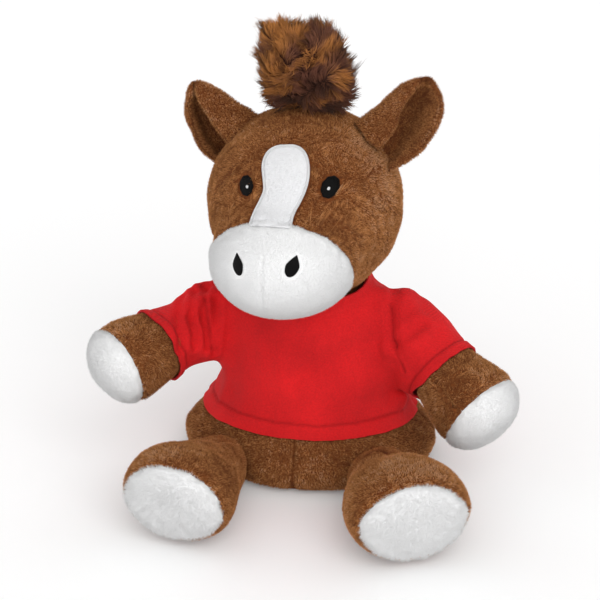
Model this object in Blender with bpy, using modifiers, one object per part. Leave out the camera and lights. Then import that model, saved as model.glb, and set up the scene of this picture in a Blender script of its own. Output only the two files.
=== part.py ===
"""Sitting plush horse in a T-shirt, built from its sewn and stuffed pieces.

Metres, +Z up. The horse sits on z = 0 and faces -Y, so its own left side is at +X.
Every skin is an open shell with a separate stuffing inside it. Limbs, ears and tail
are modelled along their own +Z axis and hang on empties at the seams they move on.
"""

from functools import partial
import math

import bmesh
import bpy
from mathutils import Matrix, Vector
from mathutils.bvhtree import BVHTree

MM = 0.001

# Cloth, clearances and meshing
SKIN = 1.6 * MM
JERSEY = 1.1 * MM
HEM_THICKNESS = 1.8 * MM
PATCH = 1.0 * MM
STITCHES = 0.8 * MM
GAP = 0.35 * MM
PAD_GAP = 0.5 * MM
RUNNING_GAP = 0.6 * MM
STUFFING_GAP = 0.7 * MM
SEAM_ROOM = 0.9 * MM
WELD = 0.02 * MM
OVERRUN = 20 * MM
FLOOR_FLAT = 0.5 * MM

BODY_STEPS = 26
LIMB_STEPS = 16
TAIL_STEPS = 14
DOME_STEPS = {"hoof": 5, "sole": 4}
HEAD_SEGMENTS = 28
HEAD_RINGS = 20
RING_SPACING_POWER = 1.2
BLAZE_GRID = (4, 12)
STRIP_GRID = (2, 14)
EAR_GRID = (7, 8)
PAD_GRID = (2, 12)
GLINT_GRID = (1, 8)
FORELOCK_STEPS = 20
MANE_STEPS = 18
SHADE_SMOOTH_ANGLE = 50.0

# Torso, a pear that is flat where it sits
TORSO_HALF_WIDTH = 53 * MM
TORSO_HEIGHT = 92 * MM
TORSO_DEPTH_SHARE = 0.80
TORSO_SHARES = (
    (0.38, 1.0), (0.44, 0.87), (0.48, 0.78), (0.53, 0.67), (0.61, 0.56), (0.69, 0.45),
    (0.755, 0.355), (0.825, 0.265), (0.93, 0.18), (1.0, 0.11), (0.985, 0.05), (0.93, 0.018), (0.84, 0.0),
)
POUCH_RADIUS = 27 * MM
POUCH_HEIGHT = 17 * MM

# Skull, a ball that sits in the dished top of the torso
SKULL_RADIUS = 38.8 * MM
SKULL_HEIGHT = 111 * MM
SKULL_FORWARD = 4 * MM
SKULL_ASIDE = -1.6 * MM
HEAD_TURN_ANGLE = -6.0
HEAD_ROLL_ANGLE = -1.0
HEAD_NOD_ANGLE = 0.0
NECK_RADIUS = 12 * MM
NECK_DEPTH = 7 * MM
NECK_ROOM = 2.2 * MM

# Muzzle, a flattened ball that swells out of the skull and is sewn along one plane
MUZZLE_HALF_WIDTH = 28.5 * MM
MUZZLE_HALF_DEPTH = 30 * MM
MUZZLE_HALF_HEIGHT = 22 * MM
MUZZLE_FORWARD = 31 * MM
MUZZLE_DROP = 10.5 * MM
MUZZLE_BLEND = 14
SEAM_FORWARD = 35.5 * MM
SEAM_DROP = 11 * MM
SEAM_LEAN_ANGLE = 25.5

# Face patches, each placed by its centre across the face and above the skull's centre
EYE_PLACES = {"left": (16.8 * MM, 18.2 * MM), "right": (-13.9 * MM, 17.1 * MM)}
EYE_HALF_WIDTH = 3 * MM
EYE_HALF_HEIGHT = 3.6 * MM
EYE_PINCH_SHARE = 0.14
GLINT_RADIUS = 0.7 * MM
NOSTRIL_PLACES = {"left": (9.9 * MM, -2.8 * MM), "right": (-11.1 * MM, -4 * MM)}
NOSTRIL_HALF_WIDTH = 2.1 * MM
NOSTRIL_HALF_HEIGHT = 3.6 * MM
NOSTRIL_LEAN_ANGLE = 17.0
NOSTRIL_POINT_SHARE = 0.75
NOSTRIL_POINT_POWER = 1.5
BLAZE_TOP_RISE = 31 * MM
BLAZE_FOOT_RISE = 10.5 * MM
BLAZE_HALF_WIDTH = 8.6 * MM
BLAZE_SHARES = (
    (0.0, 0.95), (0.2, 0.95), (0.4, 1.0), (0.6, 1.0), (0.78, 0.96), (0.9, 0.78), (1.0, 0.36),
)
BLAZE_DRIFT = 1.3 * MM

# Ears, cupped leaves sewn edge to edge from a back and a lining
EAR_LENGTH = 30.5 * MM
EAR_HALF_WIDTH = 13.2 * MM
EAR_CUP = 9 * MM
EAR_SEAT = 1.6 * MM
EAR_BACK = 1.5 * MM
EAR_LINING = 1.2 * MM
EAR_UP_ANGLE = {"left": 37.5, "right": 41.0}
EAR_LEAN_ANGLE = {"left": 4.0, "right": 29.0}
EAR_STAND_ANGLE = {"left": 10.0, "right": 15.0}
EAR_TWIST_ANGLE = {"left": -9.0, "right": 9.0}
EAR_WIDTH_SHARES = (
    (0.0, 0.86), (0.2, 0.98), (0.42, 1.0), (0.62, 0.97), (0.8, 0.84), (0.93, 0.56), (1.0, 0.14),
)
EAR_LINING_SHARE = 0.84
EAR_FOLD_SHARE = 0.03
EAR_HOLLOW_SHARE = 0.87

# Fur: the tuft on the crown, the mane behind it and the tail
FUR_STRIP_HALF_WIDTH = 6 * MM
FUR_STRIP = 1.2 * MM
FORELOCK_HEIGHT = 33 * MM
FORELOCK_HALF_WIDTH = 20 * MM
FORELOCK_ROOT_HALF_WIDTH = 17 * MM
FORELOCK_SPIKES = 7
SPIKE_DEPTH_SHARE = 0.16
SPIKE_CENTRE_SHARE = 0.2
ROOT_FLARE_POWER = 0.6
MANE_HEIGHT = 14 * MM
MANE_HALF_WIDTH = 9 * MM
STRIP_FRONT_ANGLE = 74.0
FORELOCK_BACK_ANGLE = 106.0
MANE_GAP_ANGLE = 1.5
MANE_END_ANGLE = 192.0
TAIL_LENGTH = 36 * MM
TAIL_RADIUS = 8 * MM
TAIL_ROOT_RADIUS = 3 * MM
TAIL_SHARES = ((0.0, 1.0), (0.7, 0.84), (1.0, 0.6), (0.75, 0.3))
TAIL_RISE = 22 * MM
TAIL_DROOP_ANGLE = 22.0

# Arms, from the shoulder to the hoof's seam
ARM_LENGTH = 46.5 * MM
ARM_ROOT_RADIUS = 6.5 * MM
HOOF_RADIUS = 16 * MM
HOOF_LENGTH = 11 * MM
DOME_POWER = 0.8
ARM_SHARES = ((0.26, 0.56), (0.42, 0.66), (0.58, 0.74), (0.74, 0.86), (0.88, 0.96), (1.0, 1.0))
SHOULDER_HEIGHT = 59.5 * MM
SHOULDER_FORWARD = 3 * MM
SHOULDER_ANGLES = (20.0, -15.0, -50.0)
ARM_AIM_ANGLES = {"left": (35.5, -28.5), "right": (45.5, -13.0)}

# Legs, from inside the torso to the sole's seam
LEG_LENGTH = {"left": 71 * MM, "right": 67.5 * MM}
LEG_ROOT_RADIUS = 11 * MM
LEG_FULL_SHARE = 0.82
FOOT_RADIUS = 24.6 * MM
FOOT_HEIGHT_SHARE = 0.84
SOLE_LENGTH = 5.5 * MM
LEG_SHARES = (
    (0.16, 0.48), (0.26, 0.54), (0.38, 0.62), (0.48, 0.70), (0.58, 0.80),
    (0.7, 0.92), (LEG_FULL_SHARE, 1.0), (0.92, 0.98), (1.0, 0.91),
)
HIP_SPREAD = 25 * MM
HIP_FORWARD = 18 * MM
LEG_SPLAY_ANGLE = {"left": 21.0, "right": 11.0}
SOLE_LEAN_ANGLE = 8.0
HIP_CREASE_RISE = 22 * MM

# T-shirt: body, collar, and sleeves with turned hems
SHIRT_HEM_RISE = 24 * MM
SHIRT_HEIGHT = 58.5 * MM
HEM_BAND = 5 * MM
SHIRT_SHARES = (
    (0.62, 1.0), (0.68, 0.975), (0.735, 0.925), (0.785, 0.84), (0.81, 0.72), (0.85, 0.50),
    (0.915, 0.30), (0.965, 0.13), (0.985, 0.09), (1.0, 0.0),
)
SHOULDER_RISE_SHARE = 0.70
SHOULDER_PINCH_SHARE = 0.16
COLLAR_SEAM_DROP = 35.5 * MM
COLLAR_BAND = 3.4 * MM
COLLAR_TILT_ANGLE = 7.5
ARMHOLE_RADIUS = 12.5 * MM
ARMHOLE_ANGLES = (0.0, 30.0, 60.0)
SLEEVE_ROOT_RADIUS = 16 * MM
SLEEVE_HEM_RADIUS = 14.2 * MM
SLEEVE_START = 2 * MM
SLEEVE_END = 27 * MM

BROWN = (0.20, 0.062, 0.021)
WHITE = (0.82, 0.82, 0.80)
BLACK = (0.012, 0.012, 0.014)
FIBRE = (0.86, 0.85, 0.80)
RED = (0.72, 0.012, 0.014)
FUR = (0.24, 0.085, 0.022)
SIDES = {"left": 1, "right": -1}


def collection(name):
    """Return a new collection in the scene."""
    made = bpy.data.collections.new(name)
    bpy.context.scene.collection.children.link(made)
    return made


def material(name, colour, roughness):
    """Return a Principled material that is not a metal."""
    made = bpy.data.materials.new(name)
    made.use_nodes = True
    shader = made.node_tree.nodes["Principled BSDF"]
    shader.inputs["Base Color"].default_value = (*colour, 1.0)
    shader.inputs["Roughness"].default_value = roughness
    shader.inputs["Metallic"].default_value = 0.0
    return made


def empty(name, matrix, parent=None):
    """Return an empty that marks a seam which pieces move on."""
    made = bpy.data.objects.new(name, None)
    PARTS.objects.link(made)
    made.parent = parent
    made.matrix_world = matrix
    bpy.context.view_layer.update()
    return made


def piece(name, mesh, colour, roughness, carrier=None):
    """Return a sub-part's object, placed on the empty that carries it."""
    made = bpy.data.objects.new(name, mesh)
    PARTS.objects.link(made)
    made.parent = carrier
    mesh.materials.clear()
    mesh.materials.append(material(name, colour, roughness))
    mesh.shade_smooth()
    mesh.set_sharp_from_angle(angle=math.radians(SHADE_SMOOTH_ANGLE))
    return made


def cutter(name, mesh, carrier=None):
    """Return a hidden solid that only cuts other pieces."""
    made = bpy.data.objects.new(name, mesh)
    CUTTERS.objects.link(made)
    made.parent = carrier
    made.hide_render = True
    made.display_type = "WIRE"
    return made


def wall(thing, thickness):
    """Give an open surface its thickness, inwards."""
    shell = thing.modifiers.new("wall", "SOLIDIFY")
    shell.thickness = thickness
    shell.offset = -1.0
    return thing


def cut(thing, *tools):
    """Take each cutter's solid away from a piece."""
    for tool in tools:
        step = thing.modifiers.new("cut_" + tool.name, "BOOLEAN")
        step.operation = "DIFFERENCE"
        step.solver = "EXACT"
        step.object = tool
    return thing


def smooth_line(points, per_span):
    """Return points on a Catmull-Rom curve through the given ones."""
    knots = [Vector(point) for point in points]
    knots = [knots[0] * 2 - knots[1], *knots, knots[-1] * 2 - knots[-2]]
    line = []
    for start in range(1, len(knots) - 2):
        before, here, there, after = knots[start - 1:start + 3]
        for step in range(per_span):
            t = step / per_span
            line.append(0.5 * (
                2 * here
                + (there - before) * t
                + (2 * before - 5 * here + 4 * there - after) * t * t
                + (3 * here - before - 3 * there + after) * t ** 3
            ))
    line.append(knots[-2])
    return line


def share_at(shares, place):
    """Return the share that a table of (place, share) pairs gives at a place."""
    for (low, first), (high, second) in zip(shares, shares[1:]):
        if place <= high:
            t = (place - low) / (high - low)
            t = t * t * (3 - 2 * t)
            return first + (second - first) * t
    return shares[-1][1]


def inset_line(line, distance):
    """Return a turned profile moved inwards by a distance, square to itself."""
    moved = []
    for index, point in enumerate(line):
        along = line[min(index + 1, len(line) - 1)] - line[max(index - 1, 0)]
        outwards = Vector((-along[1], along[0])).normalized()
        if point[0] < WELD:
            outwards = Vector((0.0, math.copysign(1.0, outwards[1])))
        moved.append(Vector((max(point[0] - outwards[0] * distance, 0.0), point[1] - outwards[1] * distance)))
    return moved


def walled(line, thickness, open_end):
    """Return the closed section of the wall inside a turned profile, cut square at its open end."""
    inner = inset_line(line, thickness)
    inner[open_end][1] = line[open_end][1]
    return [*line, *reversed(inner), line[0]]


def turned(name, line, steps, depth_share=1.0):
    """Return the mesh that a profile of (radius, height) points sweeps round Z."""
    profile = bpy.data.meshes.new(name + "_profile")
    edges = [(index, index + 1) for index in range(len(line) - 1)]
    profile.from_pydata([(radius, 0.0, height) for radius, height in line], edges, [])
    guide = bpy.data.objects.new(name + "_guide", profile)
    PARTS.objects.link(guide)
    screw = guide.modifiers.new("turn", "SCREW")
    screw.steps = steps
    screw.render_steps = steps
    screw.use_merge_vertices = True
    screw.merge_threshold = WELD
    evaluated = guide.evaluated_get(bpy.context.evaluated_depsgraph_get())
    mesh = bpy.data.meshes.new_from_object(evaluated)
    mesh.name = name
    mesh.transform(Matrix.Diagonal((1.0, depth_share, 1.0, 1.0)))
    bpy.data.objects.remove(guide)
    bpy.data.meshes.remove(profile)
    return mesh


def closed(line):
    """Return a turned profile led to the axis at both of its ends."""
    ends = [Vector((0.0, line[0][1])), *line, Vector((0.0, line[-1][1]))]
    apart = [(after - before).length > WELD for before, after in zip(ends, ends[1:])]
    return [ends[0], *(point for point, kept in zip(ends[1:], apart) if kept)]


def mesh_from(bm, name):
    """Return a finished mesh and free its bmesh."""
    mesh = bpy.data.meshes.new(name)
    bm.to_mesh(mesh)
    bm.free()
    return mesh


def ball(name, radius):
    """Return a ball's mesh."""
    bm = bmesh.new()
    bmesh.ops.create_uvsphere(bm, u_segments=HEAD_SEGMENTS, v_segments=HEAD_RINGS, radius=radius)
    return mesh_from(bm, name)


def aimed(origin, aim):
    """Return a frame at a point whose +Z looks along a direction and whose X stays level."""
    forward = aim.normalized()
    across = forward.cross(Vector((0.0, 0.0, 1.0))).normalized()
    up = across.cross(forward)
    turn = Matrix((across, up, forward)).transposed().to_4x4()
    return Matrix.Translation(origin) @ turn


# Torso, its stuffing and the pouch of pellets in the seat

def torso_line(offset=0.0):
    """Return the torso's outer profile, top first, moved inwards by an offset."""
    knots = [(TORSO_HALF_WIDTH * wide, TORSO_HEIGHT * high) for wide, high in TORSO_SHARES]
    return inset_line([Vector(knot) for knot in knots], offset)


def torso_radius(height):
    """Return the torso's half width at a height."""
    line = torso_line()
    for above, below in zip(line, line[1:]):
        if below[1] <= height:
            t = (height - below[1]) / (above[1] - below[1])
            return below[0] + (above[0] - below[0]) * t
    return line[-1][0]


def build_torso():
    """Make the torso's skin, stuffing and pellet pouch."""
    line = torso_line()
    base = Vector((0.0, 0.0))
    outside = turned("torso_skin", [*line, base], BODY_STEPS, TORSO_DEPTH_SHARE)
    cut(wall(piece("torso_skin", outside, BROWN, 0.85), SKIN), HEAD_ROOM)

    inset = (SKIN + GAP) / TORSO_DEPTH_SHARE
    inset_points = torso_line(inset)
    inner = [point for point in inset_points if point[1] > inset]
    rim = Vector((inset_points[len(inner)][0], inset))
    mouth = Vector((POUCH_RADIUS + GAP, inset))
    roof = [
        Vector((POUCH_RADIUS + GAP, inset + POUCH_HEIGHT / 2)),
        Vector((POUCH_RADIUS / 2, inset + POUCH_HEIGHT + GAP)),
        Vector((0.0, inset + POUCH_HEIGHT + GAP)),
    ]
    line = [Vector((0.0, inner[0][1])), *inner, rim, mouth, *roof]
    filled = turned("torso_stuffing", line, BODY_STEPS, TORSO_DEPTH_SHARE)
    cut(piece("torso_stuffing", filled, FIBRE, 0.95), HEAD_ROOM, NECK_SOCKET)

    pouch_base = SKIN + GAP
    line = closed([
        Vector((POUCH_RADIUS / 2 - GAP, pouch_base + POUCH_HEIGHT)),
        Vector((POUCH_RADIUS, pouch_base + POUCH_HEIGHT / 2 - GAP)),
        Vector((POUCH_RADIUS, pouch_base)),
    ])
    piece("pellet_pouch", turned("pellet_pouch", line, LIMB_STEPS, TORSO_DEPTH_SHARE), WHITE, 0.8)


def build_neck():
    """Make the plug of stuffing that the head's ball is seated on."""
    top = SKULL_HEIGHT - math.sqrt((SKULL_RADIUS + RUNNING_GAP) ** 2 - NECK_RADIUS ** 2)
    line = closed([Vector((NECK_RADIUS, height - SKULL_HEIGHT)) for height in (top, neck_base())])
    plug = piece("neck_stuffing", turned("neck_stuffing", line, LIMB_STEPS), FIBRE, 0.95, NECK_PIVOT)
    cut(plug, HEAD_ROOM)


def neck_base():
    """Return the height of the neck plug's underside."""
    return SKULL_HEIGHT - SKULL_RADIUS - NECK_DEPTH


# Head: skull and muzzle in one form, cut along the muzzle's seam

def head_reach(aim):
    """Return how far the head's outer form reaches from the skull's centre along a direction."""
    size = Vector((MUZZLE_HALF_WIDTH, MUZZLE_HALF_DEPTH, MUZZLE_HALF_HEIGHT))
    centre = Vector((0.0, -MUZZLE_FORWARD, -MUZZLE_DROP))
    ray = Vector(aim[axis] / size[axis] for axis in range(3))
    start = Vector(centre[axis] / size[axis] for axis in range(3))
    half = ray.dot(start)
    inside = half * half - ray.length_squared * (start.length_squared - 1)
    muzzle = (half + math.sqrt(inside)) / ray.length_squared if inside > 0 else 0.0
    share = max(muzzle, 0.0) / SKULL_RADIUS
    return SKULL_RADIUS * (1 + share ** MUZZLE_BLEND) ** (1 / MUZZLE_BLEND)


def head_form(offset=0.0):
    """Return a bmesh of the head's form, moved inwards by an offset."""
    bm = bmesh.new()
    bmesh.ops.create_uvsphere(bm, u_segments=HEAD_SEGMENTS, v_segments=HEAD_RINGS, radius=1.0)
    for vert in bm.verts:
        spin = math.atan2(vert.co.y, vert.co.x)
        polar = math.pi * (math.acos(max(-1.0, min(1.0, vert.co.z))) / math.pi) ** RING_SPACING_POWER
        aim = Vector((math.sin(polar) * math.cos(spin), -math.cos(polar), math.sin(polar) * math.sin(spin)))
        vert.co = aim * head_reach(aim)
    bm.normal_update()
    moves = {vert: vert.normal * offset for vert in bm.verts}
    for vert, move in moves.items():
        vert.co -= move
    return bm


def seam_plane(shift):
    """Return a point on the muzzle's seam plane, moved along its normal, and that normal."""
    lean = math.radians(SEAM_LEAN_ANGLE)
    normal = Vector((0.0, -math.cos(lean), -math.sin(lean)))
    return Vector((0.0, -SEAM_FORWARD, -SEAM_DROP)) + normal * shift, normal


def keep_behind(bm, point, normal):
    """Remove what lies beyond a plane on the side that its normal points to."""
    geometry = bm.verts[:] + bm.edges[:] + bm.faces[:]
    bmesh.ops.bisect_plane(bm, geom=geometry, dist=WELD, plane_co=point, plane_no=normal, clear_outer=True)


def build_head():
    """Make the head's skin with its two openings, the muzzle's skin and their stuffing."""
    bm = head_form()
    keep_behind(bm, *seam_plane(-GAP / 2))
    neck = Vector((0.0, 0.0, -math.sqrt(SKULL_RADIUS ** 2 - NECK_RADIUS ** 2)))
    keep_behind(bm, neck, Vector((0.0, 0.0, -1.0)))
    wall(piece("head_skin", mesh_from(bm, "head_skin"), BROWN, 0.85, HEAD_PIVOT), SKIN)

    bm = head_form()
    point, normal = seam_plane(GAP / 2)
    keep_behind(bm, point, -normal)
    wall(piece("muzzle_skin", mesh_from(bm, "muzzle_skin"), WHITE, 0.85, HEAD_PIVOT), SKIN)

    form = head_form(SKIN + STUFFING_GAP)
    mesh = mesh_from(form, "head_stuffing")
    piece("head_stuffing", mesh, FIBRE, 0.95, HEAD_PIVOT)


# Patches sewn on the face, laid on the head's form from the front

def laid_on_face(bm, lift):
    """Move a flat bmesh, drawn across X and Z, on to the face and out by a lift."""
    form = head_form()
    tree = BVHTree.FromBMesh(form)
    form.free()
    front = Vector((0.0, 1.0, 0.0))
    for vert in bm.verts:
        start = Vector((vert.co.x, -OVERRUN - SKULL_RADIUS * 2, vert.co.z))
        hit, normal, _, _ = tree.ray_cast(start, front)
        vert.co = hit + normal * lift


def disc(radius_at, centre, rings, spokes):
    """Return a flat bmesh of rings whose outline a function of the angle gives."""
    bm = bmesh.new()
    middle = bm.verts.new((centre[0], 0.0, centre[1]))
    loops = []
    for ring in range(1, rings + 1):
        loop = []
        for spoke in range(spokes):
            angle = 2 * math.pi * spoke / spokes
            across, up = radius_at(angle)
            share = ring / rings
            loop.append(bm.verts.new((centre[0] + across * share, 0.0, centre[1] + up * share)))
        loops.append(loop)
    for spoke in range(spokes):
        after = (spoke + 1) % spokes
        bm.faces.new((middle, loops[0][spoke], loops[0][after]))
        for inner, outer in zip(loops, loops[1:]):
            bm.faces.new((inner[spoke], outer[spoke], outer[after], inner[after]))
    return bm


def almond(angle):
    """Return a point of the eye's outline: an oval with slight points above and below."""
    pinch = 1 - EYE_PINCH_SHARE * math.sin(angle) ** 2 * abs(math.cos(angle))
    return EYE_HALF_WIDTH * math.cos(angle) * pinch, EYE_HALF_HEIGHT * math.sin(angle)


def dot(angle):
    """Return a point of a glint's outline."""
    return GLINT_RADIUS * math.cos(angle), GLINT_RADIUS * math.sin(angle)


def teardrop(angle, side):
    """Return a point of a nostril's outline: a drop whose point leans outwards."""
    narrow = 1 - NOSTRIL_POINT_SHARE * max(math.sin(angle), 0.0) ** NOSTRIL_POINT_POWER
    across = NOSTRIL_HALF_WIDTH * math.cos(angle) * narrow
    up = NOSTRIL_HALF_HEIGHT * math.sin(angle)
    lean = math.radians(NOSTRIL_LEAN_ANGLE) * side
    return across * math.cos(lean) + up * math.sin(lean), up * math.cos(lean) - across * math.sin(lean)


def build_blaze():
    """Make the keyhole-shaped patch from the muzzle's seam up over the forehead."""
    bm = bmesh.new()
    bmesh.ops.create_grid(bm, x_segments=BLAZE_GRID[0], y_segments=BLAZE_GRID[1], size=1.0)
    for vert in bm.verts:
        along = (vert.co.y + 1) / 2
        drift = -BLAZE_DRIFT * math.cos(2 * math.pi * along)
        across = vert.co.x * BLAZE_HALF_WIDTH * share_at(BLAZE_SHARES, along) + drift
        rise = BLAZE_FOOT_RISE + (BLAZE_TOP_RISE - BLAZE_FOOT_RISE) * along
        vert.co = Vector((across, 0.0, rise))
    laid_on_face(bm, GAP + PATCH)
    bmesh.ops.recalc_face_normals(bm, faces=bm.faces[:])
    point_out(bm)
    wall(piece("blaze", mesh_from(bm, "blaze"), WHITE, 0.85, HEAD_PIVOT), PATCH)


def point_out(bm):
    """Turn a face patch's normals away from the skull's centre."""
    bm.normal_update()
    inwards = [face for face in bm.faces if face.normal.dot(face.calc_center_median()) < 0]
    bmesh.ops.reverse_faces(bm, faces=inwards)


def face_pad(name, outline, centre, colour, grid, under=0.0):
    """Make one embroidered pad on the face."""
    bm = disc(outline, centre, *grid)
    laid_on_face(bm, under + PAD_GAP + STITCHES)
    point_out(bm)
    wall(piece(name, mesh_from(bm, name), colour, 0.5, HEAD_PIVOT), STITCHES)


def build_face():
    """Make the eyes, their glints and the nostrils."""
    for side, sign in SIDES.items():
        across, rise = EYE_PLACES[side]
        glint = (across - GLINT_RADIUS / 2, rise - GLINT_RADIUS / 2)
        face_pad("eye_" + side, almond, (across, rise), BLACK, PAD_GRID)
        face_pad("eye_glint_" + side, dot, glint, WHITE, GLINT_GRID, GAP + STITCHES)
        face_pad("nostril_" + side, partial(teardrop, side=sign), NOSTRIL_PLACES[side], BLACK, PAD_GRID)


# Ears

def ear_pivot(side):
    """Return the empty on an ear's base line: X along the line, Y to the back, Z up the ear."""
    sign = SIDES[side]
    up = math.radians(EAR_UP_ANGLE[side])
    reach = SKULL_RADIUS + EAR_SEAT
    place = Vector((math.cos(up) * sign, 0.0, math.sin(up))) * reach
    stand = math.radians(90.0 - EAR_UP_ANGLE[side]) * sign
    turn = Matrix.Rotation(stand, 4, "Y")
    turn @= Matrix.Rotation(math.radians(EAR_TWIST_ANGLE[side]), 4, "Z")
    turn @= Matrix.Rotation(math.radians(EAR_LEAN_ANGLE[side]), 4, "X")
    return empty("ear_pivot_" + side, HEAD_PIVOT.matrix_world @ Matrix.Translation(place) @ turn, HEAD_PIVOT)


def ear_leaf(name, side, width_share, forward):
    """Return the mesh of one cupped leaf, its hollow towards the face and its tip leaning up."""
    bm = bmesh.new()
    bmesh.ops.create_grid(bm, x_segments=EAR_GRID[0], y_segments=EAR_GRID[1], size=1.0)
    for vert in bm.verts:
        across = vert.co.x
        along = (vert.co.y + 1) / 2
        foot = (1 - width_share) * EAR_LENGTH / 2
        tall = foot * (1 - along) + (EAR_LENGTH - foot) * along
        place = tall / EAR_LENGTH
        hollow = math.sin(math.pi * min(EAR_FOLD_SHARE + place * EAR_HOLLOW_SHARE, 1.0))
        wide = EAR_HALF_WIDTH * share_at(EAR_WIDTH_SHARES, along) * width_share
        sag = (across * wide) ** 2 / (2 * SKULL_RADIUS) * (1 - along)
        depth = -EAR_CUP * hollow * (across * wide / EAR_HALF_WIDTH / share_at(EAR_WIDTH_SHARES, place)) ** 2
        lean = tall * math.tan(math.radians(EAR_STAND_ANGLE[side])) * SIDES[side]
        vert.co = Vector((across * wide - lean, depth, tall - sag))
    bmesh.ops.remove_doubles(bm, verts=bm.verts[:], dist=WELD)
    bmesh.ops.recalc_face_normals(bm, faces=bm.faces[:])
    bm.normal_update()
    if sum(face.normal.y for face in bm.faces) < 0:
        bmesh.ops.reverse_faces(bm, faces=bm.faces[:])
        bm.normal_update()
    moves = {vert: vert.normal * forward for vert in bm.verts}
    for vert, move in moves.items():
        vert.co -= move
    return mesh_from(bm, name)


def build_ears():
    """Make each ear's back and lining on its own pivot."""
    for side in SIDES:
        pivot = ear_pivot(side)
        back = ear_leaf("ear_back_" + side, side, 1.0, 0.0)
        wall(piece("ear_back_" + side, back, BROWN, 0.85, pivot), EAR_BACK)
        lining = ear_leaf("ear_lining_" + side, side, EAR_LINING_SHARE, EAR_BACK + STUFFING_GAP)
        wall(piece("ear_lining_" + side, lining, BROWN, 0.9, pivot), EAR_LINING)


# Fur along the middle of the head, and the tail

def crest(name, first, last, height, root_width, half_width, spikes, steps):
    """Make a closed tuft that stands on the strip between two angles of the head's middle line."""
    bm = bmesh.new()
    bmesh.ops.create_uvsphere(bm, u_segments=steps, v_segments=steps // 2, radius=1.0)
    root = SKULL_RADIUS + GAP + FUR_STRIP + RUNNING_GAP
    for vert in bm.verts:
        flare = 1.0
        if spikes and -1 < vert.co.z < 0:
            flare = math.hypot(vert.co.x, vert.co.y) ** -ROOT_FLARE_POWER
        place, tall, across = vert.co.y * flare, (vert.co.z + 1) / 2, vert.co.x * flare
        angle = math.radians((first + last) / 2 + (last - first) / 2 * place)
        spread = root_width + (half_width - root_width) * math.sin(tall * math.pi / 2)
        round_it = math.atan2(across, vert.co.z + SPIKE_CENTRE_SHARE)
        spiky = 1 - SPIKE_DEPTH_SHARE * (1 + math.cos(spikes * round_it)) / 2
        reach = root + height * tall * spiky
        vert.co = Vector((across * spread, -reach * math.cos(angle), reach * math.sin(angle)))
    bmesh.ops.recalc_face_normals(bm, faces=bm.faces[:])
    return piece(name, mesh_from(bm, name), FUR, 0.8, HEAD_PIVOT)


def build_fur():
    """Make the sewn-in strip, the tuft, the mane and the tail."""
    bm = bmesh.new()
    bmesh.ops.create_grid(bm, x_segments=STRIP_GRID[0], y_segments=STRIP_GRID[1], size=1.0)
    for vert in bm.verts:
        angle = math.radians(STRIP_FRONT_ANGLE + (MANE_END_ANGLE - STRIP_FRONT_ANGLE) * (vert.co.y + 1) / 2)
        across = vert.co.x * FUR_STRIP_HALF_WIDTH
        reach = math.sqrt(SKULL_RADIUS ** 2 - across ** 2) + GAP + FUR_STRIP
        vert.co = Vector((across, -reach * math.cos(angle), reach * math.sin(angle)))
    point_out(bm)
    wall(piece("mane_backing", mesh_from(bm, "mane_backing"), BROWN, 0.9, HEAD_PIVOT), FUR_STRIP)

    crest("forelock_fur", STRIP_FRONT_ANGLE, FORELOCK_BACK_ANGLE, FORELOCK_HEIGHT, FORELOCK_ROOT_HALF_WIDTH,
          FORELOCK_HALF_WIDTH, FORELOCK_SPIKES, FORELOCK_STEPS)
    crest("mane_fur", FORELOCK_BACK_ANGLE + MANE_GAP_ANGLE, MANE_END_ANGLE, MANE_HEIGHT, FUR_STRIP_HALF_WIDTH,
          MANE_HALF_WIDTH, 0, MANE_STEPS)

    back = torso_radius(TAIL_RISE) * TORSO_DEPTH_SHARE + TAIL_ROOT_RADIUS + RUNNING_GAP
    droop = math.radians(TAIL_DROOP_ANGLE)
    aim = Vector((0.0, math.cos(droop), -math.sin(droop)))
    pivot = empty("tail_pivot", aimed(Vector((0.0, back, TAIL_RISE)), aim))
    knots = [(TAIL_RADIUS * wide, TAIL_LENGTH * along) for wide, along in TAIL_SHARES]
    knots += [(TAIL_ROOT_RADIUS, 0.0), (0.0, -TAIL_ROOT_RADIUS)]
    piece("tail_fur", turned("tail_fur", smooth_line(knots, 2), TAIL_STEPS), FUR, 0.8, pivot)


# Arms with their hooves

def arm_line():
    """Return the arm's outer profile from the hoof's seam down to the ball at the shoulder."""
    knots = [(HOOF_RADIUS * wide, ARM_LENGTH * along) for along, wide in reversed(ARM_SHARES)]
    for angle in SHOULDER_ANGLES:
        turn = math.radians(angle)
        knots.append((ARM_ROOT_RADIUS * math.cos(turn), ARM_ROOT_RADIUS * math.sin(turn)))
    return [*smooth_line(knots, 1), Vector((0.0, -ARM_ROOT_RADIUS))]


def dome_line(radius, start, length, points):
    """Return the profile of a shallow dome, top first, that ends at a seam."""
    line = []
    for index in range(points + 1):
        turn = math.pi / 2 * (1 - index / points)
        line.append(Vector((radius * math.cos(turn) ** DOME_POWER, start + length * math.sin(turn))))
    line[0] = Vector((0.0, start + length))
    return line


def build_arms():
    """Make each arm's skin, hoof and stuffing on its shoulder's pivot."""
    for side, sign in SIDES.items():
        pivot = PIVOTS["arm_" + side]
        skin = turned("arm_skin", walled(arm_line(), SKIN, 0), LIMB_STEPS)
        piece("arm_skin_" + side, skin, BROWN, 0.85, pivot)
        cap = dome_line(HOOF_RADIUS, ARM_LENGTH + GAP, HOOF_LENGTH, DOME_STEPS["hoof"])
        hoof = turned("hoof", walled(cap, SKIN, -1), LIMB_STEPS)
        piece("hoof_" + side, hoof, WHITE, 0.85, pivot)
        inner = inset_line(cap[:-1] + arm_line(), SKIN + GAP)
        stuffing = turned("arm_stuffing", closed(inner), LIMB_STEPS)
        piece("arm_stuffing_" + side, stuffing, FIBRE, 0.95, pivot)


# Legs with their soles

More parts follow.
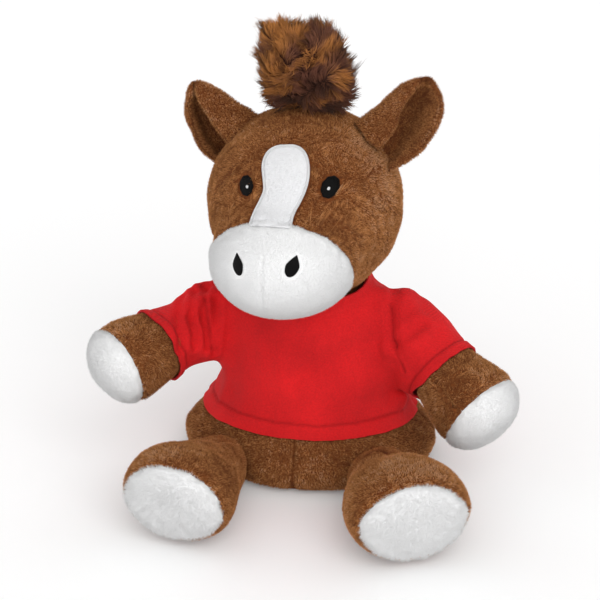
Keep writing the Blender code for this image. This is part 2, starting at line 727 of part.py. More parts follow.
def leg_line(side):
    """Return the leg's outer profile from the sole's seam down to its end inside the torso."""
    knots = [(FOOT_RADIUS * wide, LEG_LENGTH[side] * along) for along, wide in reversed(LEG_SHARES)]
    knots.append((LEG_ROOT_RADIUS, 0.0))
    return [*smooth_line(knots, 1), Vector((0.0, -LEG_ROOT_RADIUS / 2))]


def droop(mesh, length):
    """Lay a leg's whole underside on the floor and lean its sole forwards at the top."""
    for vert in mesh.vertices:
        along = max(vert.co.z / length, 0.0)
        lean = vert.co.y * math.tan(math.radians(SOLE_LEAN_ANGLE)) * along * along
        thick = share_at(LEG_SHARES, max(LEG_SHARES[0][0], min(along, LEG_FULL_SHARE)))
        vert.co.y -= FOOT_RADIUS * FOOT_HEIGHT_SHARE * (1 - thick)
        vert.co.z += lean


def build_legs():
    """Make each leg's skin, sole and stuffing, cut by the torso, the shirt and the floor."""
    for side in SIDES:
        pivot = PIVOTS["leg_" + side]
        frame = pivot.matrix_world.inverted() @ leg_frame(side)
        sole = FOOT_RADIUS * LEG_SHARES[-1][1]
        cap = dome_line(sole, LEG_LENGTH[side] + GAP, SOLE_LENGTH, DOME_STEPS["sole"])
        inner = inset_line(cap[:-1] + leg_line(side), SKIN + GAP)
        pieces = {
            "leg_skin_": (walled(leg_line(side), SKIN, 0), BROWN, [FLOOR, TORSO_ROOM, SHIRT_ROOM]),
            "sole_": (walled(cap, SKIN, -1), WHITE, [FLOOR]),
            "leg_stuffing_": (closed(inner), FIBRE, [FLOOR_INSET, TORSO_ROOM, SHIRT_ROOM]),
        }
        for name, (line, colour, tools) in pieces.items():
            mesh = turned(name + side, line, LIMB_STEPS, FOOT_HEIGHT_SHARE)
            droop(mesh, LEG_LENGTH[side])
            mesh.transform(frame)
            cut(piece(name + side, mesh, colour, 0.85, pivot), *tools)


# T-shirt

def shirt_line(offset=0.0):
    """Return the shirt's outer profile, neck first, moved outwards by an offset."""
    wide = torso_radius(SHIRT_HEM_RISE) + (GAP + JERSEY) / TORSO_DEPTH_SHARE
    knots = [(wide * across, SHIRT_HEM_RISE + SHIRT_HEIGHT * high) for across, high in SHIRT_SHARES]
    return inset_line([Vector(knot) for knot in knots], -offset)


def drawn_in(mesh):
    """Narrow the shirt's mesh from its shoulders to its neck, and centre the neck under the skull."""
    for vert in mesh.vertices:
        level = (vert.co.z - SHIRT_HEM_RISE) / SHIRT_HEIGHT
        t = max(0.0, min(1.0, (level - SHOULDER_RISE_SHARE) / (1 - SHOULDER_RISE_SHARE)))
        t = t * t * (3 - 2 * t)
        vert.co.x = vert.co.x * (1 - SHOULDER_PINCH_SHARE * t) + SKULL_ASIDE * t
    return mesh


def build_shirt():
    """Make the shirt's body, collar and sleeves."""
    tilt = math.radians(COLLAR_TILT_ANGLE)
    normal = Vector((0.0, -math.sin(tilt), math.cos(tilt)))
    seam = Vector((0.0, 0.0, SKULL_HEIGHT - COLLAR_SEAM_DROP))
    for name, shift, way, thickness in (
        ("shirt_body", -SEAM_ROOM / 2, 1, JERSEY), ("shirt_collar", SEAM_ROOM / 2, -1, HEM_THICKNESS),
    ):
        bm = bmesh.new()
        bm.from_mesh(drawn_in(turned(name, shirt_line(), BODY_STEPS, TORSO_DEPTH_SHARE)))
        keep_behind(bm, seam + normal * shift, normal * way)
        keep_behind(bm, seam + normal * (COLLAR_BAND + SEAM_ROOM / 2), normal)
        made = wall(piece(name, mesh_from(bm, name), RED, 0.8), thickness)
        cut(made, NECK_ROOM_BALL)
        if name == "shirt_body":
            cut(made, *(ARMHOLES[side] for side in SIDES))

    for side in SIDES:
        pivot = PIVOTS["arm_" + side]
        start = Vector((SLEEVE_ROOT_RADIUS, SLEEVE_START))
        hem = SLEEVE_END - HEM_BAND
        step = HEM_THICKNESS - JERSEY
        line = [
            Vector((SLEEVE_HEM_RADIUS - HEM_THICKNESS, SLEEVE_END)),
            Vector((SLEEVE_HEM_RADIUS, SLEEVE_END)),
            Vector((SLEEVE_HEM_RADIUS, hem)),
            Vector((SLEEVE_HEM_RADIUS - step, hem)),
            (start + Vector((SLEEVE_HEM_RADIUS, hem))) / 2 + Vector((step, 0.0)),
            start,
            start - Vector((JERSEY, 0.0)),
            (start + Vector((SLEEVE_HEM_RADIUS, hem))) / 2 - Vector((JERSEY - step, 0.0)),
            Vector((SLEEVE_HEM_RADIUS - HEM_THICKNESS, hem)),
        ]
        ring = turned("sleeve", [*line, line[0]], LIMB_STEPS)
        cut(piece("sleeve_" + side, ring, RED, 0.8, pivot), SHIRT_ROOM)


# Frames of the moving pieces, and the solids that only cut

def arm_frame(side):
    """Return an arm's frame at its shoulder, clear of the torso by its ball and a gap."""
    out, up = (math.radians(angle) for angle in ARM_AIM_ANGLES[side])
    sign = SIDES[side]
    aim = Vector((math.cos(out) * math.cos(up) * sign, -math.sin(out) * math.cos(up), math.sin(up)))
    beside = torso_radius(SHOULDER_HEIGHT) + ARM_ROOT_RADIUS + RUNNING_GAP
    return aimed(Vector((beside * sign, -SHOULDER_FORWARD, SHOULDER_HEIGHT)), aim)


def leg_frame(side):
    """Return a leg's frame at its root inside the torso, its foot's underside just in the floor."""
    splay = math.radians(LEG_SPLAY_ANGLE[side])
    aim = Vector((math.sin(splay) * SIDES[side], -math.cos(splay), 0.0))
    height = FOOT_RADIUS * FOOT_HEIGHT_SHARE - FLOOR_FLAT
    return aimed(Vector((HIP_SPREAD * SIDES[side], -HIP_FORWARD, height)), aim)


def hip_pivot(side):
    """Return a leg's pivot: the crease where its top meets the torso, with a level X axis."""
    frame = leg_frame(side)
    splay = math.radians(LEG_SPLAY_ANGLE[side])
    aim = Vector((math.sin(splay) * SIDES[side], -math.cos(splay), 0.0))
    wide = torso_radius(HIP_CREASE_RISE) + GAP
    deep = wide * TORSO_DEPTH_SHARE
    x, y = frame.translation.x, frame.translation.y
    a = (aim.x / wide) ** 2 + (aim.y / deep) ** 2
    b = x * aim.x / wide ** 2 + y * aim.y / deep ** 2
    c = (x / wide) ** 2 + (y / deep) ** 2 - 1
    reach = (-b + math.sqrt(b * b - a * c)) / a
    return aimed(Vector((x, y, 0.0)) + aim * reach + Vector((0.0, 0.0, HIP_CREASE_RISE)), aim)


def block(name, top):
    """Return a cutter that fills everything below a level."""
    bm = bmesh.new()
    size = TORSO_HEIGHT * 4
    bmesh.ops.create_cube(bm, size=size)
    bmesh.ops.translate(bm, verts=bm.verts[:], vec=(0.0, 0.0, top - size / 2))
    return cutter(name, mesh_from(bm, name))


def grown_solid(name, line, steps):
    """Return a cutter turned from a profile and closed at both ends."""
    return cutter(name, turned(name, closed(line), steps, TORSO_DEPTH_SHARE))


for thing in list(bpy.data.objects):
    bpy.data.objects.remove(thing)
PARTS = collection("plush_horse")
CUTTERS = collection("cutters")

SKULL_CENTRE = Vector((SKULL_ASIDE, -SKULL_FORWARD, SKULL_HEIGHT))
NECK_PIVOT = empty("neck_pivot", Matrix.Translation(SKULL_CENTRE))
HEAD_PIVOT = empty(
    "head_pivot",
    Matrix.Translation(SKULL_CENTRE)
    @ Matrix.Rotation(math.radians(HEAD_TURN_ANGLE), 4, "Z")
    @ Matrix.Rotation(math.radians(HEAD_ROLL_ANGLE), 4, "Y")
    @ Matrix.Rotation(math.radians(HEAD_NOD_ANGLE), 4, "X"),
    NECK_PIVOT,
)
PIVOTS = {"arm_" + side: empty("arm_pivot_" + side, arm_frame(side)) for side in SIDES}
PIVOTS.update({"leg_" + side: empty("leg_pivot_" + side, hip_pivot(side)) for side in SIDES})

HEAD_ROOM = cutter("head_room", ball("head_room", SKULL_RADIUS + RUNNING_GAP), NECK_PIVOT)
NECK_ROOM_BALL = cutter("collar_room", ball("collar_room", SKULL_RADIUS + NECK_ROOM), NECK_PIVOT)
SOCKET_LINE = closed([
    Vector((NECK_RADIUS + GAP, SKULL_RADIUS)),
    Vector((NECK_RADIUS + GAP, neck_base() - GAP - SKULL_HEIGHT)),
])
NECK_SOCKET = cutter("neck_socket", turned("neck_socket", SOCKET_LINE, LIMB_STEPS), NECK_PIVOT)
TORSO_ROOM = grown_solid("torso_room", torso_line(-GAP)[:-1] + [
    Vector((torso_line()[-1][0], -OVERRUN)),
], BODY_STEPS)
SHIRT_ROOM = grown_solid("shirt_room", shirt_line(GAP)[:-1] + [
    Vector((shirt_line(GAP)[-1][0], SHIRT_HEM_RISE - GAP)),
], BODY_STEPS)
drawn_in(SHIRT_ROOM.data)
FLOOR = block("floor_room", 0.0)
FLOOR_INSET = block("floor_inset", SKIN + GAP)
ARMHOLE_LINE = [Vector((0.0, SLEEVE_END)), Vector((ARMHOLE_RADIUS, SLEEVE_END))]
for degrees in ARMHOLE_ANGLES:
    turn = math.radians(degrees)
    ARMHOLE_LINE.append(Vector((ARMHOLE_RADIUS * math.cos(turn), -ARMHOLE_RADIUS * math.sin(turn))))
ARMHOLE_LINE.append(Vector((0.0, -ARMHOLE_RADIUS)))
ARMHOLES = {
    side: cutter("armhole_" + side, turned("armhole", ARMHOLE_LINE, LIMB_STEPS), PIVOTS["arm_" + side])
    for side in SIDES
}

build_torso()
build_neck()
build_head()
build_blaze()
build_face()
build_ears()
build_fur()
build_arms()
build_legs()
build_shirt()
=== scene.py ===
"""Visual model of a sitting plush horse in a red T-shirt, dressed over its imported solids."""

import logging
import math
from dataclasses import dataclass, field
from enum import Enum
from typing import Callable, Sequence

import bmesh
import bpy
import numpy as np
from mathutils import Matrix, Vector
from mathutils.bvhtree import BVHTree
from mathutils.kdtree import KDTree


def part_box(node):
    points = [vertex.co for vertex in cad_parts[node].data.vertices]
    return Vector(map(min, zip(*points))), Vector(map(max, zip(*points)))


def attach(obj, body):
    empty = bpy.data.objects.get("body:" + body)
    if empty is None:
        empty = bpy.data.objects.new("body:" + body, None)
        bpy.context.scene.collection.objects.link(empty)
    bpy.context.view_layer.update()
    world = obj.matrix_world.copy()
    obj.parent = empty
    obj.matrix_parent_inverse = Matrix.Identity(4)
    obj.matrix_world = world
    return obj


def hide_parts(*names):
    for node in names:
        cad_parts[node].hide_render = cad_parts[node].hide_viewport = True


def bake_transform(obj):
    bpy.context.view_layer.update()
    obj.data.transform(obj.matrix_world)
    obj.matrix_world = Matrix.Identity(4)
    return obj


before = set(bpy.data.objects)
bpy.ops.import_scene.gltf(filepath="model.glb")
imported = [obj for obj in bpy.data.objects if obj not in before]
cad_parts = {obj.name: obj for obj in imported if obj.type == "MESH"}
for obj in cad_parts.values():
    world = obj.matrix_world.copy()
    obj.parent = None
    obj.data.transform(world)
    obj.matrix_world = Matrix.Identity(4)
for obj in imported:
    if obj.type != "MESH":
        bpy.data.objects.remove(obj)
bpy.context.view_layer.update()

LOG = logging.getLogger("plush_horse")
MM = 0.001
UP = Vector((0.0, 0.0, 1.0))
TINY = 1e-9
WELD = 1e-6
BAND_SCALE = 0.314
RIPPLE_WAVES = 9
SIM_SCALE = 10.0
HELD_LEAST = 0.02
STUFFING_PRESSURE = 4.0
STUFFING_FRAMES = 20
SPOKE_TURNS = (0.0, 2.094395, 4.18879)
WISP_LENGTH = 1.8
COVERED_WITHIN = 1.1 * MM
PIXELS_PER_MM = 2.27
BLAZE_TALL = 70
PAD_BACK = 0.4 * MM
WAIST = 0.09
TUFT_SPREAD = 0.55
TUFT_TAPER = 0.45
TUFT_ARCH = 0.35
Rows = np.ndarray
Pixel = tuple[float, float]
Pair = tuple[float, float]
Colour = tuple[float, float, float]
Zone = tuple[float, float, float, float]
Socket = bpy.types.NodeSocket


class Side(Enum):
    """The horse's own left is +X."""

    LEFT = 1
    RIGHT = -1

    @property
    def word(self) -> str:
        """Return the side as the solids' names spell it."""
        return self.name.lower()


def sided(left: object, right: object) -> dict:
    """Return a field that holds one value for each side."""
    return field(default_factory=lambda: {Side.LEFT: left, Side.RIGHT: right})


# Photograph


@dataclass(frozen=True)
class PhotoView:
    """The place from which the photograph was taken."""

    azimuth: float = math.radians(9.0)
    elevation: float = math.radians(25.0)
    distance: float = 0.7
    focal_pixels: float = 1750.0
    frame_pixels: float = 600.0
    sensor: float = 36.0
    near_clip: float = 0.01
    target: tuple[float, float, float] = (-4.25 * MM, -0.67 * MM, 67.0 * MM)

    @property
    def away(self) -> Vector:
        """Return the direction from the target to the camera."""
        level = math.cos(self.elevation)
        across, ahead = math.sin(self.azimuth) * level, -math.cos(self.azimuth) * level
        return Vector((across, ahead, math.sin(self.elevation)))

    @property
    def place(self) -> Vector:
        """Return the camera's place."""
        return Vector(self.target) + self.away * self.distance

    def ray(self, across: float, down: float) -> Vector:
        """Return the direction through a pixel.

        Args:
            across: The pixel's column.
            down: The pixel's row.

        Returns:
            A unit direction from the camera.
        """
        turn = (-self.away).to_track_quat("-Z", "Y")
        half = self.frame_pixels / 2
        aim = Vector(((across - half) / self.focal_pixels, (half - down) / self.focal_pixels, -1.0))
        return (turn @ aim).normalized()

    def on_plane(self, pixel: Sequence[float], point: Vector, normal: Vector) -> Vector:
        """Return where the line of sight through a pixel meets a plane.

        Args:
            pixel: The pixel's column and row.
            point: A point of the plane.
            normal: The plane's normal.

        Returns:
            The place on the plane.
        """
        aim = self.ray(*pixel)
        return self.place + aim * ((point - self.place).dot(normal) / aim.dot(normal))

    def build(self) -> bpy.types.Object:
        """Make the camera.

        Returns:
            The camera object.
        """
        lens = bpy.data.cameras.new("photo_camera")
        lens.sensor_width = self.sensor
        lens.lens = self.focal_pixels / self.frame_pixels * self.sensor
        camera = bpy.data.objects.new("photo_camera", lens)
        camera.location = self.place
        camera.rotation_mode = "QUATERNION"
        camera.rotation_quaternion = (-self.away).to_track_quat("-Z", "Y")
        lens.clip_start = self.near_clip
        bpy.context.scene.collection.objects.link(camera)
        bpy.context.scene.camera = camera
        return camera


VIEW = PhotoView()


# Materials


class Graph:
    """One material's node graph with a Principled shader."""

    SPECULAR = 0.2
    SHEEN_ROUGHNESS = 0.5

    def __init__(self, name: str, roughness: float, sheen: float = 0.0, tint: Colour = (1, 1, 1)) -> None:
        """Start a material.

        Args:
            name: The material's name.
            roughness: The shader's roughness.
            sheen: The sheen's weight.
            tint: The sheen's linear colour.
        """
        self.material = bpy.data.materials.new(name)
        self.material.use_nodes = True
        self.tree = self.material.node_tree
        self.shader = self.tree.nodes["Principled BSDF"]
        self.shader.inputs["Roughness"].default_value = roughness
        self.shader.inputs["Specular IOR Level"].default_value = self.SPECULAR
        self.shader.inputs["Sheen Weight"].default_value = sheen
        self.shader.inputs["Sheen Roughness"].default_value = self.SHEEN_ROUGHNESS
        self.shader.inputs["Sheen Tint"].default_value = (*tint, 1.0)

    def node(self, kind: str, inputs: dict | None = None, **settings: str) -> bpy.types.Node:
        """Add a node.

        Args:
            kind: The node's type after "ShaderNode".
            inputs: Socket values or sockets to link, by socket name or number.
            settings: The node's own settings.

        Returns:
            The node.
        """
        made = self.tree.nodes.new("ShaderNode" + kind)
        for name, value in settings.items():
            setattr(made, name, value)
        for name, value in (inputs or {}).items():
            if isinstance(value, Socket):
                self.tree.links.new(value, made.inputs[name])
            else:
                made.inputs[name].default_value = value
        return made

    def place(self) -> Socket:
        """Return the object's own coordinates."""
        return self.node("TexCoord").outputs["Object"]

    def attribute(self, name: str) -> Socket:
        """Return the value that the mesh carries under a name."""
        return self.node("Attribute", attribute_name=name).outputs["Fac"]

    def noise(self, scale: float, detail: float = 2.0) -> Socket:
        """Add a noise in the object's own coordinates.

        Args:
            scale: Cycles per metre.
            detail: Octaves.

        Returns:
            The noise's value socket.
        """
        return self.node("TexNoise",
                         {"Vector": self.place(), "Scale": scale, "Detail": detail}).outputs["Fac"]

    def bands(self, pitch: float, distortion: float, detail_scale: float, direction: str) -> Socket:
        """Add parallel bands, such as rows of stitches.

        Args:
            pitch: Metres from band to band.
            distortion: How much the bands wander.
            detail_scale: How finely they wander.
            direction: The axis across the bands.

        Returns:
            The bands' value socket.
        """
        inputs = {"Vector": self.place(), "Scale": BAND_SCALE / pitch, "Distortion": distortion,
                  "Detail Scale": detail_scale}
        return self.node("TexWave", inputs, bands_direction=direction, wave_profile="SIN").outputs["Fac"]

    def ramp(self, value: Socket, stops: Sequence[tuple[float, Colour]]) -> Socket:
        """Map a value to a colour.

        Args:
            value: The socket that drives the ramp.
            stops: Each stop's place and linear colour.

        Returns:
            The colour socket.
        """
        made = self.node("ValToRGB", {"Fac": value})
        points = made.color_ramp.elements
        while len(points) < len(stops):
            points.new(0.5)
        for point, (where, colour) in zip(points, stops):
            point.position = where
            point.color = (*colour, 1.0)
        return made.outputs["Color"]

    def mix(self, share: Socket | float, first: Socket | Colour, second: Socket | Colour,
            blend: str = "MIX") -> Socket:
        """Mix two colours.

        Args:
            share: The factor.
            first: The lower colour, a socket or linear colour.
            second: The upper colour, a socket or linear colour.
            blend: How they mix.

        Returns:
            The colour socket.
        """
        made = self.node("Mix", data_type="RGBA", blend_type=blend)
        for index, value in ((0, share), (6, first), (7, second)):
            if isinstance(value, Socket):
                self.tree.links.new(value, made.inputs[index])
            else:
                made.inputs[index].default_value = (*value, 1.0) if index else value
        return made.outputs[2]

    def math(self, how: str, first: Socket | float, second: Socket | float) -> Socket:
        """Combine two values.

        Args:
            how: The operation.
            first: The first value.
            second: The second value.

        Returns:
            The value socket.
        """
        return self.node("Math", {0: first, 1: second}, operation=how).outputs["Value"]

    def blend(self, *parts: tuple[Socket, float]) -> Socket:
        """Return the sum of several values, each times its share."""
        total = self.math("MULTIPLY", *parts[0])
        for value, share in parts[1:]:
            total = self.math("ADD", total, self.math("MULTIPLY", value, share))
        return total

    def colour(self, socket: Socket) -> None:
        """Use a socket as the base colour."""
        self.tree.links.new(socket, self.shader.inputs["Base Color"])

    def bump(self, height: Socket, depth: float) -> None:
        """Raise the surface by a height.

        Args:
            height: The socket with the height.
            depth: Metres from lowest to highest.
        """
        made = self.node("Bump", {"Height": height, "Distance": depth, "Strength": 1.0})
        self.tree.links.new(made.outputs["Normal"], self.shader.inputs["Normal"])


@dataclass(frozen=True)
class PileFinish:
    """Cut pile: each tuft is darker at its root, patches of the pile are lighter or darker at random, and the
    tufts also carry painted light and painted shade.
    """

    name: str
    root: Colour
    tip: Colour
    pale: Colour
    # The lightest colour, reached where the tufts carry painted light; partly pile that lies the other way.
    brushed: Colour | None = None
    patch_scale: float = 70.0
    patch_share: float = 0.5
    mottle_scale: float = 330.0
    mottle_share: float = 0.65
    contrast: float = 0.4
    ramp_places: tuple[float, float, float] = (0.45, 0.9, 1.0)
    sheen: float = 0.08
    tuft_roughness: float = 0.85
    ground_roughness: float = 0.95
    ground_scale: float = 900.0
    knit_scale: float = 1800.0
    knit_depth: float = 0.4 * MM

    def tufts(self) -> bpy.types.Material:
        """Return the material of the tufts."""
        graph = Graph(self.name + "_tufts", self.tuft_roughness, self.sheen, self.pale)
        tone = graph.blend((graph.noise(self.patch_scale), self.patch_share),
                           (graph.noise(self.mottle_scale), self.mottle_share),
                           (graph.attribute("shade"), self.contrast))
        tip = graph.ramp(tone, tuple(zip(self.ramp_places, (self.tip, self.pale, self.brushed or self.pale))))
        graph.colour(graph.mix(graph.attribute("reach"), self.root, tip))
        return graph.material

    def ground(self) -> bpy.types.Material:
        """Return the material of the knitted ground that the tufts stand on."""
        graph = Graph(self.name + "_ground", self.ground_roughness, self.sheen, self.pale)
        graph.colour(graph.ramp(graph.noise(self.ground_scale), ((0.3, self.root), (0.75, self.tip))))
        graph.bump(graph.noise(self.knit_scale, 3.0), self.knit_depth)
        return graph.material


# The brown pile's last colour is its painted highlight on lit spots.
BROWN_PILE = PileFinish(
    "brown_pile", (0.080, 0.021, 0.005), (0.20, 0.058, 0.013), (0.80, 0.345, 0.115), (0.90, 0.46, 0.22))
WHITE_PILE = PileFinish("white_pile", (0.85, 0.85, 0.85), (0.88, 0.88, 0.88), (0.94, 0.94, 0.94))
PATCH_PILE = PileFinish("patch_pile", (0.75, 0.75, 0.76), (0.78, 0.78, 0.79), (0.82, 0.82, 0.83))
EAR_PILE = PileFinish("ear_pile", (0.070, 0.018, 0.005), (0.18, 0.052, 0.012), (0.72, 0.30, 0.10))


@dataclass(frozen=True)
class LongFurFinish:
    """Long fur of amber and dark locks, mixed lock by lock."""

    dark: Colour = (0.150, 0.055, 0.032)
    amber: Colour = (0.45, 0.175, 0.042)
    root: Colour = (0.35, 0.33, 0.33)
    shaded: Colour = (0.6, 0.55, 0.55)
    lit: Colour = (1.5, 1.5, 1.5)

    def material(self) -> bpy.types.Material:
        """Return the material of the locks."""
        graph = Graph("long_fur", 0.7, 0.05, (1.0, 0.8, 0.6))
        tone = graph.mix(graph.attribute("amber"), self.dark, self.amber)
        lit = graph.ramp(graph.attribute("shade"), ((0.0, self.shaded), (1.0, self.lit)))
        tone = graph.mix(1.0, tone, lit, "MULTIPLY")
        graph.colour(graph.mix(graph.attribute("reach"), graph.mix(1.0, tone, self.root, "MULTIPLY"), tone))
        return graph.material


@dataclass(frozen=True)
class JerseyFinish:
    """Fine red cotton jersey with its rows of stitches."""

    dark: Colour = (0.56, 0.008, 0.011)
    light: Colour = (0.80, 0.013, 0.016)
    # The seams' colour: painted shade along the stitch lines and armhole seams, in their grooves.
    seam: Colour = (0.30, 0.004, 0.006)
    seam_shade_share: float = 0.55
    wale: float = 0.42 * MM
    knit_depth: float = 0.2 * MM

    def material(self) -> bpy.types.Material:
        """Return the jersey's material, with painted shade along its seams."""
        graph = Graph("red_jersey", 0.85, 0.12, (1.0, 0.15, 0.15))
        fine = graph.noise(1500.0)
        tone = graph.blend((graph.noise(45.0, 3.0), 0.6), (fine, 0.4))
        cloth = graph.ramp(tone, ((0.35, self.dark), (0.65, self.light)))
        graph.colour(graph.mix(graph.math("MULTIPLY", graph.attribute("seam"), self.seam_shade_share),
                               cloth, self.seam))
        rows, courses = (graph.bands(self.wale, 0.6, 300.0, direction) for direction in "XZ")
        knit = graph.math("ADD", graph.math("MULTIPLY", rows, courses), graph.math("MULTIPLY", fine, 0.8))
        graph.bump(knit, self.knit_depth)
        return graph.material


@dataclass(frozen=True)
class ThreadFinish:
    """Embroidery thread in close parallel stitches."""

    name: str
    base: Colour
    light: Colour
    roughness: float = 0.45
    pitch: float = 0.35 * MM
    depth: float = 0.25 * MM
    gloss: float = 0.05

    def material(self) -> bpy.types.Material:
        """Return the thread's material."""
        graph = Graph(self.name, self.roughness)
        graph.shader.inputs["Specular IOR Level"].default_value = self.gloss
        lay = graph.bands(self.pitch, 2.0, 80.0, "Z")
        graph.colour(graph.ramp(lay, ((0.0, self.base), (1.0, self.light))))
        graph.bump(lay, self.depth)
        return graph.material


BLACK_THREAD = ThreadFinish("black_thread", (0.004, 0.004, 0.004), (0.014, 0.013, 0.013))
WHITE_THREAD = ThreadFinish("white_thread", (0.90, 0.90, 0.91), (0.96, 0.96, 0.96), roughness=0.35)


# Meshes


def meshed(bm: bmesh.types.BMesh, name: str) -> bpy.types.Mesh:
    """Return a new mesh with what a bmesh holds, and free the bmesh.

    Args:
        bm: The bmesh.
        name: The mesh's name.

    Returns:
        The mesh.
    """
    mesh = bpy.data.meshes.new(name)
    bm.to_mesh(mesh)
    bm.free()
    return mesh


def link(name: str, mesh: bpy.types.Mesh, material: bpy.types.Material | None = None) -> bpy.types.Object:
    """Link a mesh as an object.

    Args:
        name: The object's name.
        mesh: Its mesh.
        material: Its material.

    Returns:
        The object.
    """
    made = bpy.data.objects.new(name, mesh)
    bpy.context.scene.collection.objects.link(made)
    if material is not None:
        mesh.materials.clear()
        mesh.materials.append(material)
    for polygon in mesh.polygons:
        polygon.use_smooth = True
    return made


def applied(thing: bpy.types.Object) -> bpy.types.Mesh:
    """Return an object's mesh with its modifiers applied, and remove the object."""
    bpy.context.view_layer.update()
    graph = bpy.context.evaluated_depsgraph_get()
    mesh = bpy.data.meshes.new_from_object(thing.evaluated_get(graph))
    bpy.data.objects.remove(thing)
    return mesh


def dress(thing: bpy.types.Object, body: str, slot: str, *nodes: str) -> bpy.types.Object:
    """Let a piece ride on a body, hide the solids that it stands for and log it.

    Args:
        thing: The piece.
        body: The body that carries it.
        slot: The finish's name, passed on to finish.
        nodes: The solids that it stands for.

    Returns:
        The piece.
    """
    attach(thing, body)
    finish(thing, slot, *nodes)
    return thing


def finish(thing: bpy.types.Object, slot: str, *nodes: str) -> None:
    """Hide the solids that a piece stands for, and log its number of faces.

    Args:
        thing: The piece.
        slot: Not used.
        nodes: The solids that it stands for.
    """
    if nodes:
        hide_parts(*nodes)
    LOG.info("%s: %d faces", thing.name, len(thing.data.polygons))


def aimed(origin: Vector, aim: Vector) -> Matrix:
    """Return a frame whose +Z looks along a direction and whose X stays level.

    Args:
        origin: The frame's place.
        aim: The direction.

    Returns:
        The frame's matrix.
    """
    forward = aim.normalized()
    across = forward.cross(UP).normalized()
    up = across.cross(forward)
    return Matrix.Translation(origin) @ Matrix((across, up, forward)).transposed().to_4x4()


def unit(rows: Rows) -> Rows:
    """Return rows of vectors at unit length."""
    return rows / np.maximum(np.linalg.norm(rows, axis=1, keepdims=True), 1e-12)


def ripple(points: Rows, size: float, seed: int = 0) -> Rows:
    """Return a smooth pattern of hills and hollows, about -1 to 1, at each point.

    Args:
        points: Places in metres.
        size: Distance between hills.
        seed: Which pattern.

    Returns:
        One value per point.
    """
    rng = np.random.default_rng(seed)
    value = np.zeros(len(points))
    for _ in range(RIPPLE_WAVES):
        aim = unit(rng.normal(size=(1, 3)))[0]
        wave = 2 * math.pi / (size * rng.uniform(0.7, 1.6))
        value += np.sin(points @ aim * wave + rng.uniform(0, 2 * math.pi))
    return value / 3.0


def line_distance(points: Rows, line: Sequence[Vector]) -> Rows:
    """Return each point's distance to a line of several straight parts.

    Args:
        points: Places in metres.
        line: The line's corners.

    Returns:
        One distance per point.
    """
    best = np.full(len(points), np.inf)
    for start, end in zip(line, line[1:]):
        a, d = np.array(start), np.array(end - start)
        share = np.clip(((points - a) @ d) / max(d @ d, 1e-12), 0, 1)
        best = np.minimum(best, np.linalg.norm(points - a - share[:, None] * d, axis=1))
    return best


def valley(distance: Rows, width: float) -> Rows:
    """Return a soft valley's depth share at a distance from its middle."""
    return np.exp(-((distance / width) ** 2))


@dataclass(frozen=True)
class Waves:
    """A soft unevenness: its height, the distance between its hills and which pattern it is."""

    height: float
    size: float
    seed: int

    def at(self, points: Rows) -> Rows:
        """Return the height at each place."""
        return self.height * ripple(points, self.size, self.seed)


@dataclass(frozen=True)
class Groove:
    """A soft groove: where its middle lies, its width and its depth."""

    middle: float
    width: float
    depth: float

    def at(self, places: Rows) -> Rows:
        """Return the depth at each place across the groove."""
        return self.depth * valley(places - self.middle, self.width)


def eased(share: Rows | float) -> Rows | float:
    """Return a share from 0 to 1 with a soft start and end."""
    return share * share * (3 - 2 * share)


def in_frame(points: Rows, place: Matrix) -> Rows:
    """Return places in the coordinates of a frame.

    Args:
        points: Places in metres.
        place: The frame's matrix.

    Returns:
        The places in the frame.
    """
    inverse = place.inverted()
    return points @ np.array(inverse.to_3x3()).T + np.array(inverse.translation)


def found(points: Rows) -> KDTree:
    """Return a search tree of places."""
    tree = KDTree(len(points))
    for index, point in enumerate(points):
        tree.insert(point, index)
    tree.balance()
    return tree


def smooth_interp(place: float, places: Sequence[float], values: Sequence[float]) -> float:
    """Return a value on a smooth curve through the given ones.

    Args:
        place: Where to read the curve.
        places: Where the values are, rising.
        values: The values.

    Returns:
        The value there.
    """
    last = len(places) - 1
    index = max(0, min(last - 1, int(np.searchsorted(places, place)) - 1))
    low, high = places[index], places[index + 1]
    t = (place - low) / (high - low)
    before = values[max(index - 1, 0)]
    after = values[min(index + 2, last)]
    first, second = values[index], values[index + 1]
    left = (second - before) / (high - places[max(index - 1, 0)]) * (high - low)
    right = (after - first) / (places[min(index + 2, last)] - low) * (high - low)
    return (
        (2 * t ** 3 - 3 * t ** 2 + 1) * first + (t ** 3 - 2 * t ** 2 + t) * left
        + (-2 * t ** 3 + 3 * t ** 2) * second + (t ** 3 - t ** 2) * right
    )


